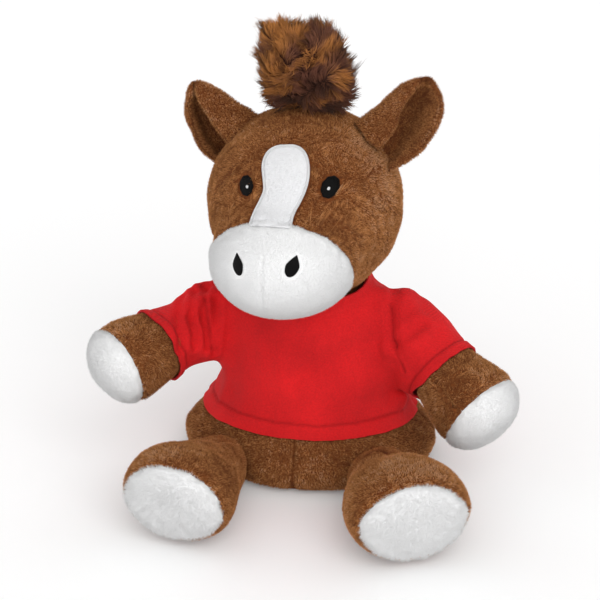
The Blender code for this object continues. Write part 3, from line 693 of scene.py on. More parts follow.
@dataclass
class Surface:
    """One closed cloth surface, from which the shown pieces are cut and on which pile grows."""

    mesh: bpy.types.Mesh

    @classmethod
    def fused(cls, nodes: Sequence[str], voxel: float, extra: Sequence[bpy.types.Mesh] = ()) -> "Surface":
        """Fuse solids into one closed surface.

        Args:
            nodes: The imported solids' names.
            voxel: The size of the faces.
            extra: Meshes that are fused in too.

        Returns:
            The outer surface.
        """
        bm = bmesh.new()
        for node in nodes:
            bm.from_mesh(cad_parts[node].data)
        for mesh in extra:
            bm.from_mesh(mesh)
        thing = link("fused", meshed(bm, "fused"))
        remesh = thing.modifiers.new("fuse", "REMESH")
        remesh.mode = "VOXEL"
        remesh.voxel_size = voxel
        return cls(outer_island(applied(thing)))

    def points(self) -> Rows:
        """Return the vertices' places."""
        rows = np.empty(len(self.mesh.vertices) * 3)
        self.mesh.vertices.foreach_get("co", rows)
        return rows.reshape(-1, 3)

    def normals(self) -> Rows:
        """Return the vertices' normals."""
        rows = np.empty(len(self.mesh.vertices) * 3, np.float32)
        self.mesh.vertex_normals.foreach_get("vector", rows)
        return rows.reshape(-1, 3).astype(float)

    def put(self, points: Rows) -> None:
        """Move the vertices to new places."""
        self.mesh.vertices.foreach_set("co", points.ravel())
        self.mesh.update()

    def raise_by(self, heights: Rows) -> None:
        """Move each vertex along its normal."""
        self.put(self.points() + self.normals() * np.asarray(heights).reshape(-1, 1))

    def smooth(self, times: int, share: float | Rows = 0.5) -> None:
        """Relax the surface.

        Args:
            times: Number of passes.
            share: Share of the way to the neighbours' middle in each pass, one for all or one
                per vertex.
        """
        edges = np.empty(len(self.mesh.edges) * 2, np.int32)
        self.mesh.edges.foreach_get("vertices", edges)
        edges = edges.reshape(-1, 2)
        points = self.points()
        count = np.bincount(edges.ravel(), minlength=len(points)).reshape(-1, 1)
        for _ in range(times):
            total = np.zeros_like(points)
            np.add.at(total, edges[:, 0], points[edges[:, 1]])
            np.add.at(total, edges[:, 1], points[edges[:, 0]])
            points += np.reshape(share, (-1, 1)) * (total / count - points)
        self.put(points)

    def simulate(
        self, pinned: Rows, frames: int, cap: float | Rows, settings: dict[str, float | bool | str],
        contact: dict[str, float | int] | None = None, gravity: float = 1.0,
    ) -> None:
        """Move the surface by a cloth simulation, made at SIM_SCALE times its size.

        Args:
            pinned: How firmly each vertex is held, 0 to 1.
            frames: Number of frames.
            cap: The farthest that a vertex may move, one for all or one per vertex.
            settings: The cloth's settings.
            contact: The cloth's collision settings.
            gravity: Share of gravity.
        """
        rest = self.points()
        copy = self.mesh.copy()
        copy.vertices.foreach_set("co", (rest * SIM_SCALE).ravel())
        thing = link("cloth", copy)
        group = thing.vertex_groups.new(name="held")
        for index in np.nonzero(pinned > HELD_LEAST)[0]:
            group.add([int(index)], float(pinned[index]), "REPLACE")
        cloth = thing.modifiers.new("cloth", "CLOTH")
        for key, value in settings.items():
            setattr(cloth.settings, key, value)
        for key, value in (contact or {}).items():
            setattr(cloth.collision_settings, key, value)
        cloth.settings.vertex_group_mass = "held"
        cloth.settings.effector_weights.gravity = gravity
        cloth.point_cache.frame_start = 1
        cloth.point_cache.frame_end = frames
        for index in range(1, frames + 1):
            bpy.context.scene.frame_set(index)
        moved = Surface(applied(thing)).points()
        bpy.context.scene.frame_set(1)
        shift = moved / SIM_SCALE - rest
        length = np.linalg.norm(shift, axis=1, keepdims=True)
        self.put(rest + shift * np.minimum(1.0, np.reshape(cap, (-1, 1)) / np.maximum(length, TINY)))

    def fill_out(self, pinned: Rows, cap: float) -> None:
        """Swell the surface between its seams, as stuffing does.

        Args:
            pinned: How firmly each vertex is held, 0 to 1.
            cap: The farthest that a vertex may move.
        """
        settings = {"use_pressure": True, "uniform_pressure_force": STUFFING_PRESSURE}
        self.simulate(pinned, STUFFING_FRAMES, cap, settings, gravity=0.0)

    def subdivide(self) -> None:
        """Split each face in four, rounded."""
        thing = link("finer", self.mesh)
        thing.modifiers.new("finer", "SUBSURF").levels = 1
        self.mesh = applied(thing)

    def tree(self) -> BVHTree:
        """Return a search tree of the surface."""
        faces = [tuple(polygon.vertices) for polygon in self.mesh.polygons]
        return BVHTree.FromPolygons([Vector(row) for row in self.points()], faces)

    def seen_at(self, across: float, down: float) -> Vector:
        """Return the place of the surface that the photograph shows at a pixel.

        Args:
            across: The pixel's column.
            down: The pixel's row.

        Returns:
            The place, or the nearest one if the ray passes by.
        """
        tree = self.tree()
        aim = VIEW.ray(across, down)
        hit = tree.ray_cast(VIEW.place, aim)[0]
        if hit is None:
            reach = (Vector(self.points().mean(axis=0)) - VIEW.place).dot(aim)
            hit = tree.find_nearest(VIEW.place + aim * reach)[0]
        return hit

    def seen_line(self, pixels: Sequence[Pixel]) -> list[Vector]:
        """Return the places that the photograph shows at several pixels."""
        return [self.seen_at(*pixel) for pixel in pixels]

    def part(self, name: str, material: bpy.types.Material,
             *planes: tuple[Vector, Vector]) -> bpy.types.Object:
        """Cut a piece from the surface and close it at its seams.

        Args:
            name: The piece's name.
            material: Its material.
            planes: A point of each seam's plane, and the direction in which the surface is cut off.

        Returns:
            The piece.
        """
        bm = bmesh.new()
        bm.from_mesh(self.mesh)
        for plane in planes:
            cut_off(bm, *plane)
            bmesh.ops.holes_fill(bm, edges=bm.edges[:], sides=0)
        return link(name, meshed(bm, name), material)


def cut_off(bm: bmesh.types.BMesh, point: Vector, normal: Vector) -> None:
    """Cut off what lies beyond a plane.

    Args:
        bm: The shape.
        point: A point of the plane.
        normal: The direction in which the shape is cut off.
    """
    bmesh.ops.bisect_plane(bm, geom=bm.verts[:] + bm.edges[:] + bm.faces[:], dist=WELD, plane_co=point,
                           plane_no=normal, clear_outer=True)


def outer_island(mesh: bpy.types.Mesh) -> bpy.types.Mesh:
    """Return a mesh with only its largest connected surface."""
    bm = bmesh.new()
    bm.from_mesh(mesh)
    left = set(bm.verts)
    islands = []
    while left:
        grown = {left.pop()}
        front = list(grown)
        while front:
            vert = front.pop()
            for edge in vert.link_edges:
                other = edge.other_vert(vert)
                if other in left:
                    left.discard(other)
                    grown.add(other)
                    front.append(other)
        islands.append(grown)
    keep = max(islands, key=len)
    bmesh.ops.delete(bm, geom=[vert for vert in bm.verts if vert not in keep], context="VERTS")
    bm.to_mesh(mesh)
    bm.free()
    return mesh


# Pile and fur, grown as thin pointed tufts


@dataclass(frozen=True)
class Pile:
    """The size and the lie of a pile's tufts."""

    length: float
    width: float
    per_area: float
    lean: float = 0.35
    unruly: float = 0.35
    clump: float = 1.6 * MM
    gather: float = 0.4
    bends: int = 1
    uneven: float = 0.25
    sink: float = 0.15 * MM
    streak: float = 0.0
    wisps: float = 0.0


Cover = Callable[[Rows, Rows], Rows]


@dataclass
class Crop:
    """Tufts that stand on a surface."""

    pile: Pile
    seed: int

    def sow(self, surface: Surface, cover: Cover) -> tuple[Rows, Rows, Rows]:
        """Spread roots over a surface.

        Args:
            surface: The surface.
            cover: Share of the full number and length of tufts at places with normals.

        Returns:
            The roots' places and normals, and the cover at each.
        """
        rng = np.random.default_rng(self.seed)
        surface.mesh.calc_loop_triangles()
        corners = np.empty(len(surface.mesh.loop_triangles) * 3, np.int32)
        surface.mesh.loop_triangles.foreach_get("vertices", corners)
        corners = corners.reshape(-1, 3)
        points, normals = surface.points(), surface.normals()
        a, b, c = (points[corners[:, index]] for index in range(3))
        area = np.linalg.norm(np.cross(b - a, c - a), axis=1) / 2
        middle = (a + b + c) / 3
        share = cover(middle, unit(normals[corners].mean(axis=1)))
        total = np.cumsum(area * (share > 0) * self.pile.per_area * np.clip(share, 0.3, 1))
        count = int(total[-1])
        pick = np.searchsorted(total, (np.arange(count) + rng.random(count)) * total[-1] / count)
        pick = np.minimum(pick, len(corners) - 1)
        u, v = rng.random(count), rng.random(count)
        flip = u + v > 1
        u[flip], v[flip] = 1 - u[flip], 1 - v[flip]
        weights = np.stack((1 - u - v, u, v), axis=1)[:, :, None]
        roots = (points[corners[pick]] * weights).sum(axis=1)
        upright = unit((normals[corners[pick]] * weights).sum(axis=1))
        held = cover(roots, upright)
        keep = held > 0
        return roots[keep], upright[keep], held[keep]

    def plant(
        self, name: str, material: bpy.types.Material, surface: Surface, cover: Cover, comb: Cover,
        lit: Callable[[Rows], Rows] | None = None, amber: Callable[[Rows], Rows] | None = None,
    ) -> bpy.types.Object:
        """Spread tufts over a surface and make them.

        Args:
            name: The piece's name.
            material: Its material.
            surface: The surface.
            cover: Share of the full number and length of tufts at places with normals.
            comb: The combing direction at places with normals.
            lit: How much lighter the pile is painted at places: painted light and shade, partly the pile's
                lie.
            amber: Share of the amber colour at places.

        Returns:
            The piece.
        """
        roots, upright, height = self.sow(surface, cover)
        return self.grow(name, material, roots, upright, height, comb(roots, upright),
                         lit(roots) if lit else 0.0, amber(roots) if amber else None)

    def grow(
        self, name: str, material: bpy.types.Material, roots: Rows, upright: Rows, height: Rows, comb: Rows,
        lit: Rows | float, amber: Rows | None,
    ) -> bpy.types.Object:
        """Make the tufts.

        Args:
            name: The piece's name.
            material: Its material.
            roots: The roots' places.
            upright: The surface's normals there.
            height: Share of the full length of each tuft.
            comb: The direction in which each tuft is combed.
            lit: How much lighter the pile is painted at each tuft: painted light and shade, partly the pile's
                lie.
            amber: Share of the amber colour of each tuft.

        Returns:
            The piece.
        """
        pile, count = self.pile, len(roots)
        rng = np.random.default_rng(self.seed + 1)
        along = comb - upright * (comb * upright).sum(axis=1, keepdims=True)
        stray = rng.normal(size=(count, 3)) * pile.unruly
        aim = unit(upright + along * pile.lean + stray)
        length = pile.length * height * (1 + pile.uneven * rng.uniform(-1, 1, count))
        length *= np.where(rng.random(count) < pile.wisps, WISP_LENGTH, 1.0)
        tips = roots + aim * length[:, None]

        clumps = max(1, int(count / max(pile.per_area * pile.clump ** 2, 1)))
        leaders = rng.choice(count, clumps, replace=False)
        streak = unit(along + TINY)
        squeezed = roots - streak * (roots * streak).sum(axis=1, keepdims=True) * pile.streak
        tree = found(squeezed[leaders])
        nearest = np.array([tree.find(root)[1] for root in squeezed])
        chief = leaders[nearest]
        tips += (tips[chief] - tips) * pile.gather
        # The shade is random tone per tuft and per clump, plus lit: painted light and painted shade.
        shade = 0.3 * rng.random(count) + 0.7 * rng.random(len(leaders))[nearest] + lit

        side = unit(np.cross(upright, rng.normal(size=(count, 3))))
        other = np.cross(upright, side)
        spokes = [math.cos(turn) * side + math.sin(turn) * other for turn in SPOKE_TURNS]
        rings, lean_in = [], (tips - roots)
        for bend in range(pile.bends):
            share = bend / pile.bends
            lift = upright * (length * share)[:, None] * TUFT_ARCH * (1 - share)
            middle = roots - upright * (pile.sink * (bend == 0)) + lean_in * share ** 1.15 + lift
            radius = pile.width / 2 * (1 - TUFT_TAPER * share)
            rings.append([middle + spoke * radius for spoke in spokes])
        points = np.stack([row for ring in rings for row in ring] + [tips], axis=1).reshape(-1, 3)
        soft = [unit(upright + TUFT_SPREAD * spoke) for spoke in spokes]
        normals = np.stack([soft[index % 3] for index in range(3 * pile.bends)] + [upright],
                           axis=1).reshape(-1, 3)
        size = 3 * pile.bends + 1
        corners = []
        for bend in range(pile.bends - 1):
            for spoke in range(3):
                after = (spoke + 1) % 3
                low, high = 3 * bend, 3 * bend + 3
                corners += [(low + spoke, low + after, high + after),
                            (low + spoke, high + after, high + spoke)]
        top = 3 * (pile.bends - 1)
        corners += [(top + spoke, top + (spoke + 1) % 3, size - 1) for spoke in range(3)]
        faces = (np.arange(count)[:, None, None] * size + np.array(corners)[None]).reshape(-1)
        mesh = bpy.data.meshes.new(name)
        mesh.vertices.add(len(points))
        mesh.vertices.foreach_set("co", points.ravel())
        mesh.loops.add(len(faces))
        mesh.loops.foreach_set("vertex_index", faces.astype(np.int32))
        mesh.polygons.add(len(faces) // 3)
        mesh.polygons.foreach_set("loop_start", np.arange(0, len(faces), 3, dtype=np.int32))
        mesh.polygons.foreach_set("loop_total", np.full(len(faces) // 3, 3, np.int32))
        mesh.update(calc_edges=True)
        reach = np.tile([index // 3 / pile.bends for index in range(size - 1)] + [1.0], count)
        values = {"reach": reach, "shade": np.repeat(shade, size)}
        if amber is not None:
            values["amber"] = np.repeat(amber, size)
        for key, rows in values.items():
            mesh.attributes.new(key, "FLOAT", "POINT").data.foreach_set("value", rows.astype(np.float32))
        thing = link(name, mesh, material)
        mesh.normals_split_custom_set_from_vertices(normals.astype(np.float32))
        return thing


def combed(aim: Sequence[float] = (0.0, 0.15, -1.0)) -> Cover:
    """Return a combing direction that is the same everywhere."""

    def comb(points: Rows, normals: Rows) -> Rows:
        """Return the direction at each place."""
        return np.tile(np.array(aim, float), (len(points), 1))

    return comb


def brushed(points: Rows, normals: Rows) -> Rows:
    """Return the combing direction of brown pile: mostly down, turned aside in soft patches."""
    turn = 0.9 * ripple(points, 22 * MM, 17)
    return np.stack((np.sin(turn), np.full(len(points), 0.15), -np.cos(turn)), axis=1)


def zones(surface: Surface, points: Rows, spots: Sequence[Zone]) -> Rows:
    """Return how much lighter the pile is painted at places, in soft spots: painted light and painted shade,
    partly where the pile lies the other way.

    Args:
        surface: The surface that carries the pile.
        points: Places in metres.
        spots: Each spot's column and row in the photograph, its radius in mm and its strength, above 0 for
            painted light and below 0 for painted shade.

    Returns:
        One value per place.
    """
    lit = np.zeros(len(points))
    for across, down, radius, strength in spots:
        spot = np.array(surface.seen_at(across, down))
        lit += strength * valley(np.linalg.norm(points - spot, axis=1), radius * MM)
    return lit


def under(points: Rows, normals: Rows, trees: Sequence[BVHTree]) -> Rows:
    """Return True at places that a sewn-on piece covers.

    Args:
        points: Places in metres.
        normals: The surface's normals there.
        trees: The pieces' search trees.

    Returns:
        One truth value per place.
    """
    return np.array([
        any(tree.find_nearest(Vector(point) + Vector(normal) * 0.5 * MM, COVERED_WITHIN)[0] for tree in trees)
        for point, normal in zip(points, normals)
    ], bool)


def keep_above_floor(thing: bpy.types.Object) -> None:
    """Lift what hangs below the floor up to it."""
    rows = Surface(thing.data).points()
    rows[:, 2] = np.maximum(rows[:, 2], 0.0)
    thing.data.vertices.foreach_set("co", rows.ravel())


BODY_PILE = Pile(1.1 * MM, 0.28 * MM, 7e6, lean=0.55, clump=0.9 * MM, gather=0.3, streak=0.4)
HEAD_PILE = Pile(1.0 * MM, 0.27 * MM, 7.4e6, lean=0.55, clump=0.9 * MM, gather=0.3, streak=0.5)
MUZZLE_PILE = Pile(0.9 * MM, 0.27 * MM, 8e6, lean=0.3, unruly=0.28, clump=0.75 * MM, gather=0.15)
BLAZE_PILE = Pile(0.6 * MM, 0.24 * MM, 7e6, lean=0.5, gather=0.15)
EYE_FUZZ = Pile(0.6 * MM, 0.2 * MM, 5e6, lean=0.2, unruly=0.5)
LEAF_PILE = Pile(0.9 * MM, 0.27 * MM, 8e6, lean=0.35, clump=0.8 * MM, gather=0.2)
HOOF_PILE = Pile(1.1 * MM, 0.28 * MM, 7e6, clump=0.8 * MM, gather=0.15)
SOLE_PILE = Pile(1.5 * MM, 0.28 * MM, 7e6, clump=0.8 * MM, gather=0.2)
FORELOCK_PILE = Pile(5.6 * MM, 0.42 * MM, 4.2e6, lean=1.25, unruly=0.3, clump=1.9 * MM, gather=0.5, bends=2,
                     uneven=0.45, wisps=0.01)
MANE_PILE = Pile(5.0 * MM, 0.55 * MM, 3.2e6, lean=1.0, unruly=0.4, clump=2.6 * MM, gather=0.5, bends=2,
                 uneven=0.4)


# Head


@dataclass
class Head:
    """The round head, its muzzle panel, and what is sewn on the face."""

    centre: Vector = field(default_factory=lambda: Vector((-1.6, -4.0, 111.0)) * MM)
    radius: float = 38.8 * MM
    turn: float = math.radians(-6.0)
    roll: float = math.radians(-1.0)
    seam_point: Vector = field(default_factory=lambda: Vector((0.0, -34.7, -10.6)) * MM)
    seam_lean: float = math.radians(25.5)
    voxel: float = 1.5 * MM
    seam_groove: Groove = Groove(0.0, 1.3 * MM, 1.0 * MM)
    seam_held: float = 1.6 * MM
    seam_pucker: Waves = Waves(0.35, 5 * MM, 3)
    seam_waves: Waves = Waves(0.28 * MM, 6 * MM, 4)
    seam_bank: Groove = Groove(2.5 * MM, 2.2 * MM, 1.0)
    middle_groove: Groove = Groove(-0.6 * MM, 0.55 * MM, 0.35 * MM)
    middle_top: float = 1 * MM
    mouth_groove: Groove = Groove(-27.2 * MM, 0.8 * MM, 0.3 * MM)
    mouth_front: float = -30 * MM
    skull_waves: Waves = Waves(0.22 * MM, 16 * MM, 5)
    muzzle_waves: Waves = Waves(0.15 * MM, 12 * MM, 6)
    pile_foot: float = -33.5 * MM
    draw_in: float = 1.0 * MM
    muzzle_draw: float = 0.2
    stuffing_cap: float = 0.5 * MM
    eye_dent: float = 0.7 * MM
    eye_dent_width: float = 5.5 * MM
    blaze_lift: float = 0.75 * MM
    blaze_dome: float = 0.35 * MM
    blaze_cloth: float = 0.8 * MM
    edge_lift: float = 1.0 * MM
    edge_thread: float = 0.5 * MM
    edge_inset: float = 1.1
    eye_pixels: dict[Side, Pixel] = sided((330.0, 187.0), (247.5, 185.7))
    glint_pixels: dict[Side, Pixel] = sided((328.6, 188.6), (247.2, 186.8))
    nostril_pixels: dict[Side, Pixel] = sided((292.3, 266.8), (238.4, 265.0))
    eye_sizes: dict[Side, Pair] = sided((3.1 * MM, 3.5 * MM), (3.0 * MM, 3.3 * MM))
    nostril_sizes: dict[Side, Pair] = sided((2.4 * MM, 3.5 * MM), (2.1 * MM, 3.6 * MM))
    glint_size: Pair = (0.52 * MM, 0.55 * MM)
    nostril_lean: float = math.radians(16.0)
    blaze_left_pixels: tuple[Pixel, ...] = (
        (249.2, 226.5), (255.0, 212.4), (260.3, 201.5), (264.3, 191.0), (263.9, 180.0), (262.9, 169.5),
        (263.9, 161.5), (267.3, 154.3), (272.5, 149.6), (279.0, 147.0), (284.0, 146.2))
    blaze_right_pixels: tuple[Pixel, ...] = (
        (291.2, 228.5), (295.0, 214.0), (300.5, 203.0), (305.5, 192.0), (308.6, 181.0), (309.5, 171.0),
        (308.7, 162.0), (305.8, 154.3), (301.5, 149.6), (296.0, 147.0), (291.0, 146.1))
    # Patches of painted light on the head's lit side, and of painted shade in the wrinkles beside the muzzle,
    # round the eyes, under the forelock and on the forehead; partly the pile's lie.
    zones: tuple[Zone, ...] = (
        (375, 150, 14, 0.55), (388, 190, 11, 0.25), (380, 235, 12, 0.25), (335, 228, 6, -0.35),
        (345, 214, 5, -0.3),
        (300, 120, 8, -0.2), (255, 150, 7, -0.25), (318, 160, 8, -0.2), (232, 180, 8, -0.2),
        (240, 215, 8, -0.15), (262, 115, 6, -0.3))

    def __post_init__(self) -> None:
        """Place the head's own frame and the muzzle's seam."""
        turn = Matrix.Rotation(self.turn, 4, "Z") @ Matrix.Rotation(self.roll, 4, "Y")
        self.place = Matrix.Translation(self.centre) @ turn
        normal = Vector((0.0, -math.cos(self.seam_lean), -math.sin(self.seam_lean)))
        self.seam_at = self.place @ self.seam_point
        self.seam_normal = (self.place.to_3x3() @ normal).normalized()

    def local(self, points: Rows) -> Rows:
        """Return places in the head's own frame."""
        return in_frame(points, self.place)

    def beyond_seam(self, points: Rows) -> Rows:
        """Return how far places lie in front of the muzzle's seam."""
        return (points - np.array(self.seam_at)) @ np.array(self.seam_normal)

    def shape(self) -> Surface:
        """Return the stuffed head with its seams drawn in."""
        surface = Surface.fused(("head_skin", "muzzle_skin", "head_stuffing"), self.voxel)
        surface.smooth(14)
        ahead = self.beyond_seam(surface.points())
        held = np.clip(valley(ahead, self.seam_held), 0, 1)
        surface.raise_by(np.where(ahead < 0, -self.draw_in, -self.muzzle_draw * self.draw_in))
        surface.fill_out(held, self.stuffing_cap)
        surface.subdivide()
        surface.smooth(3)
        points = surface.points()
        own = self.local(points)
        ahead = self.beyond_seam(points)
        muzzle = ahead > 0
        depth = -self.seam_groove.at(ahead) * (1 + self.seam_pucker.at(points))
        depth += self.seam_waves.at(points) * self.seam_bank.at(np.abs(ahead))
        depth -= self.middle_groove.at(own[:, 0]) * muzzle * (own[:, 2] < self.middle_top)
        depth -= self.mouth_groove.at(own[:, 2]) * muzzle * (own[:, 1] < self.mouth_front)
        for pixel in self.eye_pixels.values():
            near = np.linalg.norm(points - np.array(surface.seen_at(*pixel)), axis=1)
            depth -= self.eye_dent * valley(near, self.eye_dent_width)
        depth += self.skull_waves.at(points) * ~muzzle + self.muzzle_waves.at(points) * muzzle
        surface.raise_by(depth)
        return surface

    def on_face(self, tree: BVHTree, across: float, rise: float) -> tuple[Vector, Vector]:
        """Return the place and normal of the face in front of a point of the head's plane."""
        start = self.place @ Vector((across, -90 * MM, rise))
        aim = self.place.to_3x3() @ Vector((0.0, 1.0, 0.0))
        hit, normal, _, _ = tree.ray_cast(start, aim)
        if hit is None:
            hit, normal, _, _ = tree.find_nearest(self.place @ Vector((across, -30 * MM, rise)))
        return hit, normal

    def outline(self, along: float) -> tuple[Vector, Vector]:
        """Return the photograph's pixels at the blaze's left and right edges at a height share."""
        stations = np.linspace(0, 1, len(self.blaze_left_pixels))
        edges = []
        for pixels in (self.blaze_left_pixels, self.blaze_right_pixels):
            across, down = zip(*pixels)
            edges.append(Vector((smooth_interp(along, stations, across),
                                 smooth_interp(along, stations, down))))
        edges[0] += Vector((self.edge_inset, self.edge_inset * along ** 6))
        edges[1] += Vector((-self.edge_inset, self.edge_inset * along ** 6))
        return edges[0], edges[1]

    def build_blaze(self, surface: Surface) -> BVHTree:
        """Make the patch on the forehead, its pile and its satin edge, and return its tree."""
        tree = surface.tree()

        def seen(pixel: Vector) -> tuple[Vector, Vector]:
            """Return the place and normal of the head at a pixel."""
            hit, normal, _, _ = tree.ray_cast(VIEW.place, VIEW.ray(*pixel))
            return hit, normal

        bm = bmesh.new()
        bmesh.ops.create_grid(bm, x_segments=30, y_segments=60, size=1.0)
        for vert in bm.verts:
            across, along = vert.co.x, (vert.co.y + 1) / 2
            left, right = self.outline(along)
            hit, normal = seen(left.lerp(right, (across + 1) / 2))
            inside = min((1 - abs(across)) * (right - left).length / 2, (1 - along) * BLAZE_TALL)
            domed = 1 - math.exp(-inside / PIXELS_PER_MM * MM / (1.2 * MM))
            vert.co = hit + normal * (self.blaze_lift + self.blaze_dome * domed)
        bm.normal_update()
        if sum(face.normal.dot(face.calc_center_median() - self.centre) for face in bm.faces) < 0:
            bmesh.ops.reverse_faces(bm, faces=bm.faces[:])
        bmesh.ops.solidify(bm, geom=bm.faces[:], thickness=self.blaze_cloth)
        patch = Surface(meshed(bm, "blaze_patch"))
        dress(link("blaze_patch", patch.mesh, PATCH_PILE.ground()), "head", "white_pile", "blaze")
        centre = np.array(self.centre)

        def cover(points: Rows, normals: Rows) -> Rows:
            """Return 1 on the patch's outer side."""
            return ((normals * unit(points - centre)).sum(axis=1) > 0.5) * 1.0

        dress(Crop(BLAZE_PILE, 31).plant("blaze_pile", PATCH_PILE.tufts(), patch, cover, combed()),
              "head", "white_pile")
        stations = np.linspace(0, 1, 80)
        rim = [self.outline(along)[0] for along in stations]
        rim += [self.outline(along)[1] for along in stations[::-1]]
        line = []
        for pixel in rim:
            hit, normal = seen(pixel)
            line.append(hit + normal * self.edge_lift)
        self.satin(line)
        return patch.tree()

    def satin(self, line: Sequence[Vector]) -> None:
        """Lay a raised satin edge along a line."""
        curve = bpy.data.curves.new("blaze_edge", "CURVE")
        curve.dimensions = "3D"
        curve.bevel_depth = self.edge_thread
        curve.bevel_resolution = 3
        curve.use_fill_caps = True
        spline = curve.splines.new("POLY")
        spline.points.add(len(line) - 1)
        for point, place in zip(spline.points, line):
            point.co = (*place, 1.0)
        thing = bpy.data.objects.new("blaze_edge_curve", curve)
        bpy.context.scene.collection.objects.link(thing)
        mesh = applied(thing)
        dress(link("blaze_edge", mesh, WHITE_THREAD.material()), "head", "white_thread")

    def pad(
        self, name: str, tree: BVHTree, centre: Pair, outline: Callable[[float], Pair],
        dome: float, lift: float, material: bpy.types.Material,
    ) -> bpy.types.Object:
        """Make one embroidered pad that lies on the face, domed in its middle.

        Args:
            name: The piece's name.
            tree: The face.
            centre: The pad's place in the head's XZ plane.
            outline: The outline's point at an angle.
            dome: How far the middle stands out.
            lift: How far the edge stands out.
            material: The pad's material.

        Returns:
            The piece.
        """
        bm = bmesh.new()
        bmesh.ops.create_uvsphere(bm, u_segments=48, v_segments=24, radius=1.0)
        for vert in bm.verts:
            away = math.hypot(vert.co.x, vert.co.y)
            across, up = outline(math.atan2(vert.co.y, vert.co.x))
            hit, normal = self.on_face(tree, centre[0] + across * away, centre[1] + up * away)
            vert.co = hit + normal * (vert.co.z * (dome if vert.co.z > 0 else PAD_BACK) + lift)
        bmesh.ops.recalc_face_normals(bm, faces=bm.faces[:])
        return link(name, meshed(bm, name), material)

    def spot(self, surface: Surface, pixel: Pixel) -> Pair:
        """Return the place in the head's own XZ plane that the photograph shows at a pixel."""
        own = self.place.inverted() @ surface.seen_at(*pixel)
        return own.x, own.z

    def build_eyes(self, surface: Surface) -> list[BVHTree]:
        """Make the eyes with their white stitches, and return the pads' search trees."""
        tree = surface.tree()
        trees = []
        for side in Side:
            across, rise = self.spot(surface, self.eye_pixels[side])
            wide, high = self.eye_sizes[side]

            def oval(angle: float) -> Pair:
                """Return the pad's slightly uneven outline at an angle."""
                rough = 1 + 0.03 * math.sin(angle * 9 + across * 900)
                return wide * math.cos(angle) * rough, high * math.sin(angle) * rough

            def dot(angle: float) -> Pair:
                """Return the round stitch's outline at an angle."""
                return self.glint_size[0] * math.cos(angle), self.glint_size[1] * math.sin(angle)

            eye = self.pad("eye_pad_" + side.word, tree, (across, rise), oval, 1.0 * MM, 0.6 * MM,
                           BLACK_THREAD.material())
            dress(eye, "head", "black_thread", "eye_" + side.word)
            domed = Surface(eye.data)
            trees.append(domed.tree())
            glint = self.pad("eye_stitch_" + side.word, trees[-1],
                             self.spot(domed, self.glint_pixels[side]), dot,
                             0.3 * MM, 0.1 * MM, WHITE_THREAD.material())
            dress(glint, "head", "white_thread", "eye_glint_" + side.word)
            facing = -np.array(self.place.to_3x3() @ Vector((0.0, 1.0, 0.0)))
            middle = np.array(self.place @ Vector((across, 0.0, rise)))

            def rim(points: Rows, normals: Rows) -> Rows:
                """Return 1 along the pad's edge."""
                own = self.local(points)
                away = np.hypot((own[:, 0] - across) / wide, (own[:, 2] - rise) / high)
                return (away > 0.82) * ((normals @ facing) > 0.0) * 1.0

            def outward(points: Rows, normals: Rows) -> Rows:
                """Return the direction away from the pad's middle."""
                return unit(points - middle) * 2

            fuzz = Crop(EYE_FUZZ, 41).plant("eye_fuzz_" + side.word, BLACK_THREAD.material(), domed,
                                            rim, outward)
            dress(fuzz, "head", "black_thread")
        return trees

    def build_nostrils(self, surface: Surface) -> list[BVHTree]:
        """Make the two drop-shaped nostrils, and return the pads' search trees."""
        tree = surface.tree()
        trees = []
        for side in Side:
            lean = self.nostril_lean * side.value
            wide, high = self.nostril_sizes[side]

            def drop(angle: float) -> Pair:
                """Return the drop's outline at an angle, pointed above."""
                narrow = 1 - 0.75 * max(math.sin(angle), 0.0) ** 1.5
                across, up = wide * math.cos(angle) * narrow, high * math.sin(angle)
                cosine, sine = math.cos(lean), math.sin(lean)
                return across * cosine + up * sine, up * cosine - across * sine

            spot = self.spot(surface, self.nostril_pixels[side])
            nostril = self.pad("nostril_pad_" + side.word, tree, spot, drop, 0.7 * MM, 0.45 * MM,
                               BLACK_THREAD.material())
            dress(nostril, "head", "black_thread", "nostril_" + side.word)
            trees.append(Surface(nostril.data).tree())
        return trees

    def build(self) -> Surface:
        """Make the head and return its surface."""
        surface = self.shape()
        skin = surface.part("head_cover", BROWN_PILE.ground(), (self.seam_at, self.seam_normal))
        dress(skin, "head", "brown_pile", "head_skin", "head_stuffing")
        muzzle = surface.part("muzzle_cover", WHITE_PILE.ground(), (self.seam_at, -self.seam_normal))
        dress(muzzle, "head", "white_pile", "muzzle_skin")
        patches = [self.build_blaze(surface), *self.build_eyes(surface)]
        pads = self.build_nostrils(surface)

        def white(points: Rows, normals: Rows) -> Rows:
            """Return 1 where the muzzle's pile grows."""
            return (self.beyond_seam(points) > 0.1 * MM) & ~under(points, normals, pads)

        def lit(points: Rows) -> Rows:
            """Return how much lighter the brown pile is painted: painted light and painted shade, partly the
            pile's lie.
            """
            return zones(surface, points, self.zones)

        for side in Side:
            def brown(points: Rows, normals: Rows, sign: int = side.value) -> Rows:
                """Return 1 where one side's brown pile grows."""
                own = self.local(points)
                free = (self.beyond_seam(points) < -0.2 * MM) & (own[:, 2] > self.pile_foot)
                return free & (own[:, 0] * sign > 0) & ~under(points, normals, patches)

            crop = Crop(HEAD_PILE, 11 + side.value)
            thing = crop.plant("head_pile_" + side.word, BROWN_PILE.tufts(), surface, brown, brushed, lit)
            dress(thing, "head", "brown_pile")
        thing = Crop(MUZZLE_PILE, 15).plant("muzzle_pile", WHITE_PILE.tufts(), surface, white, combed())
        dress(thing, "head", "white_pile")
        return surface


# Ears


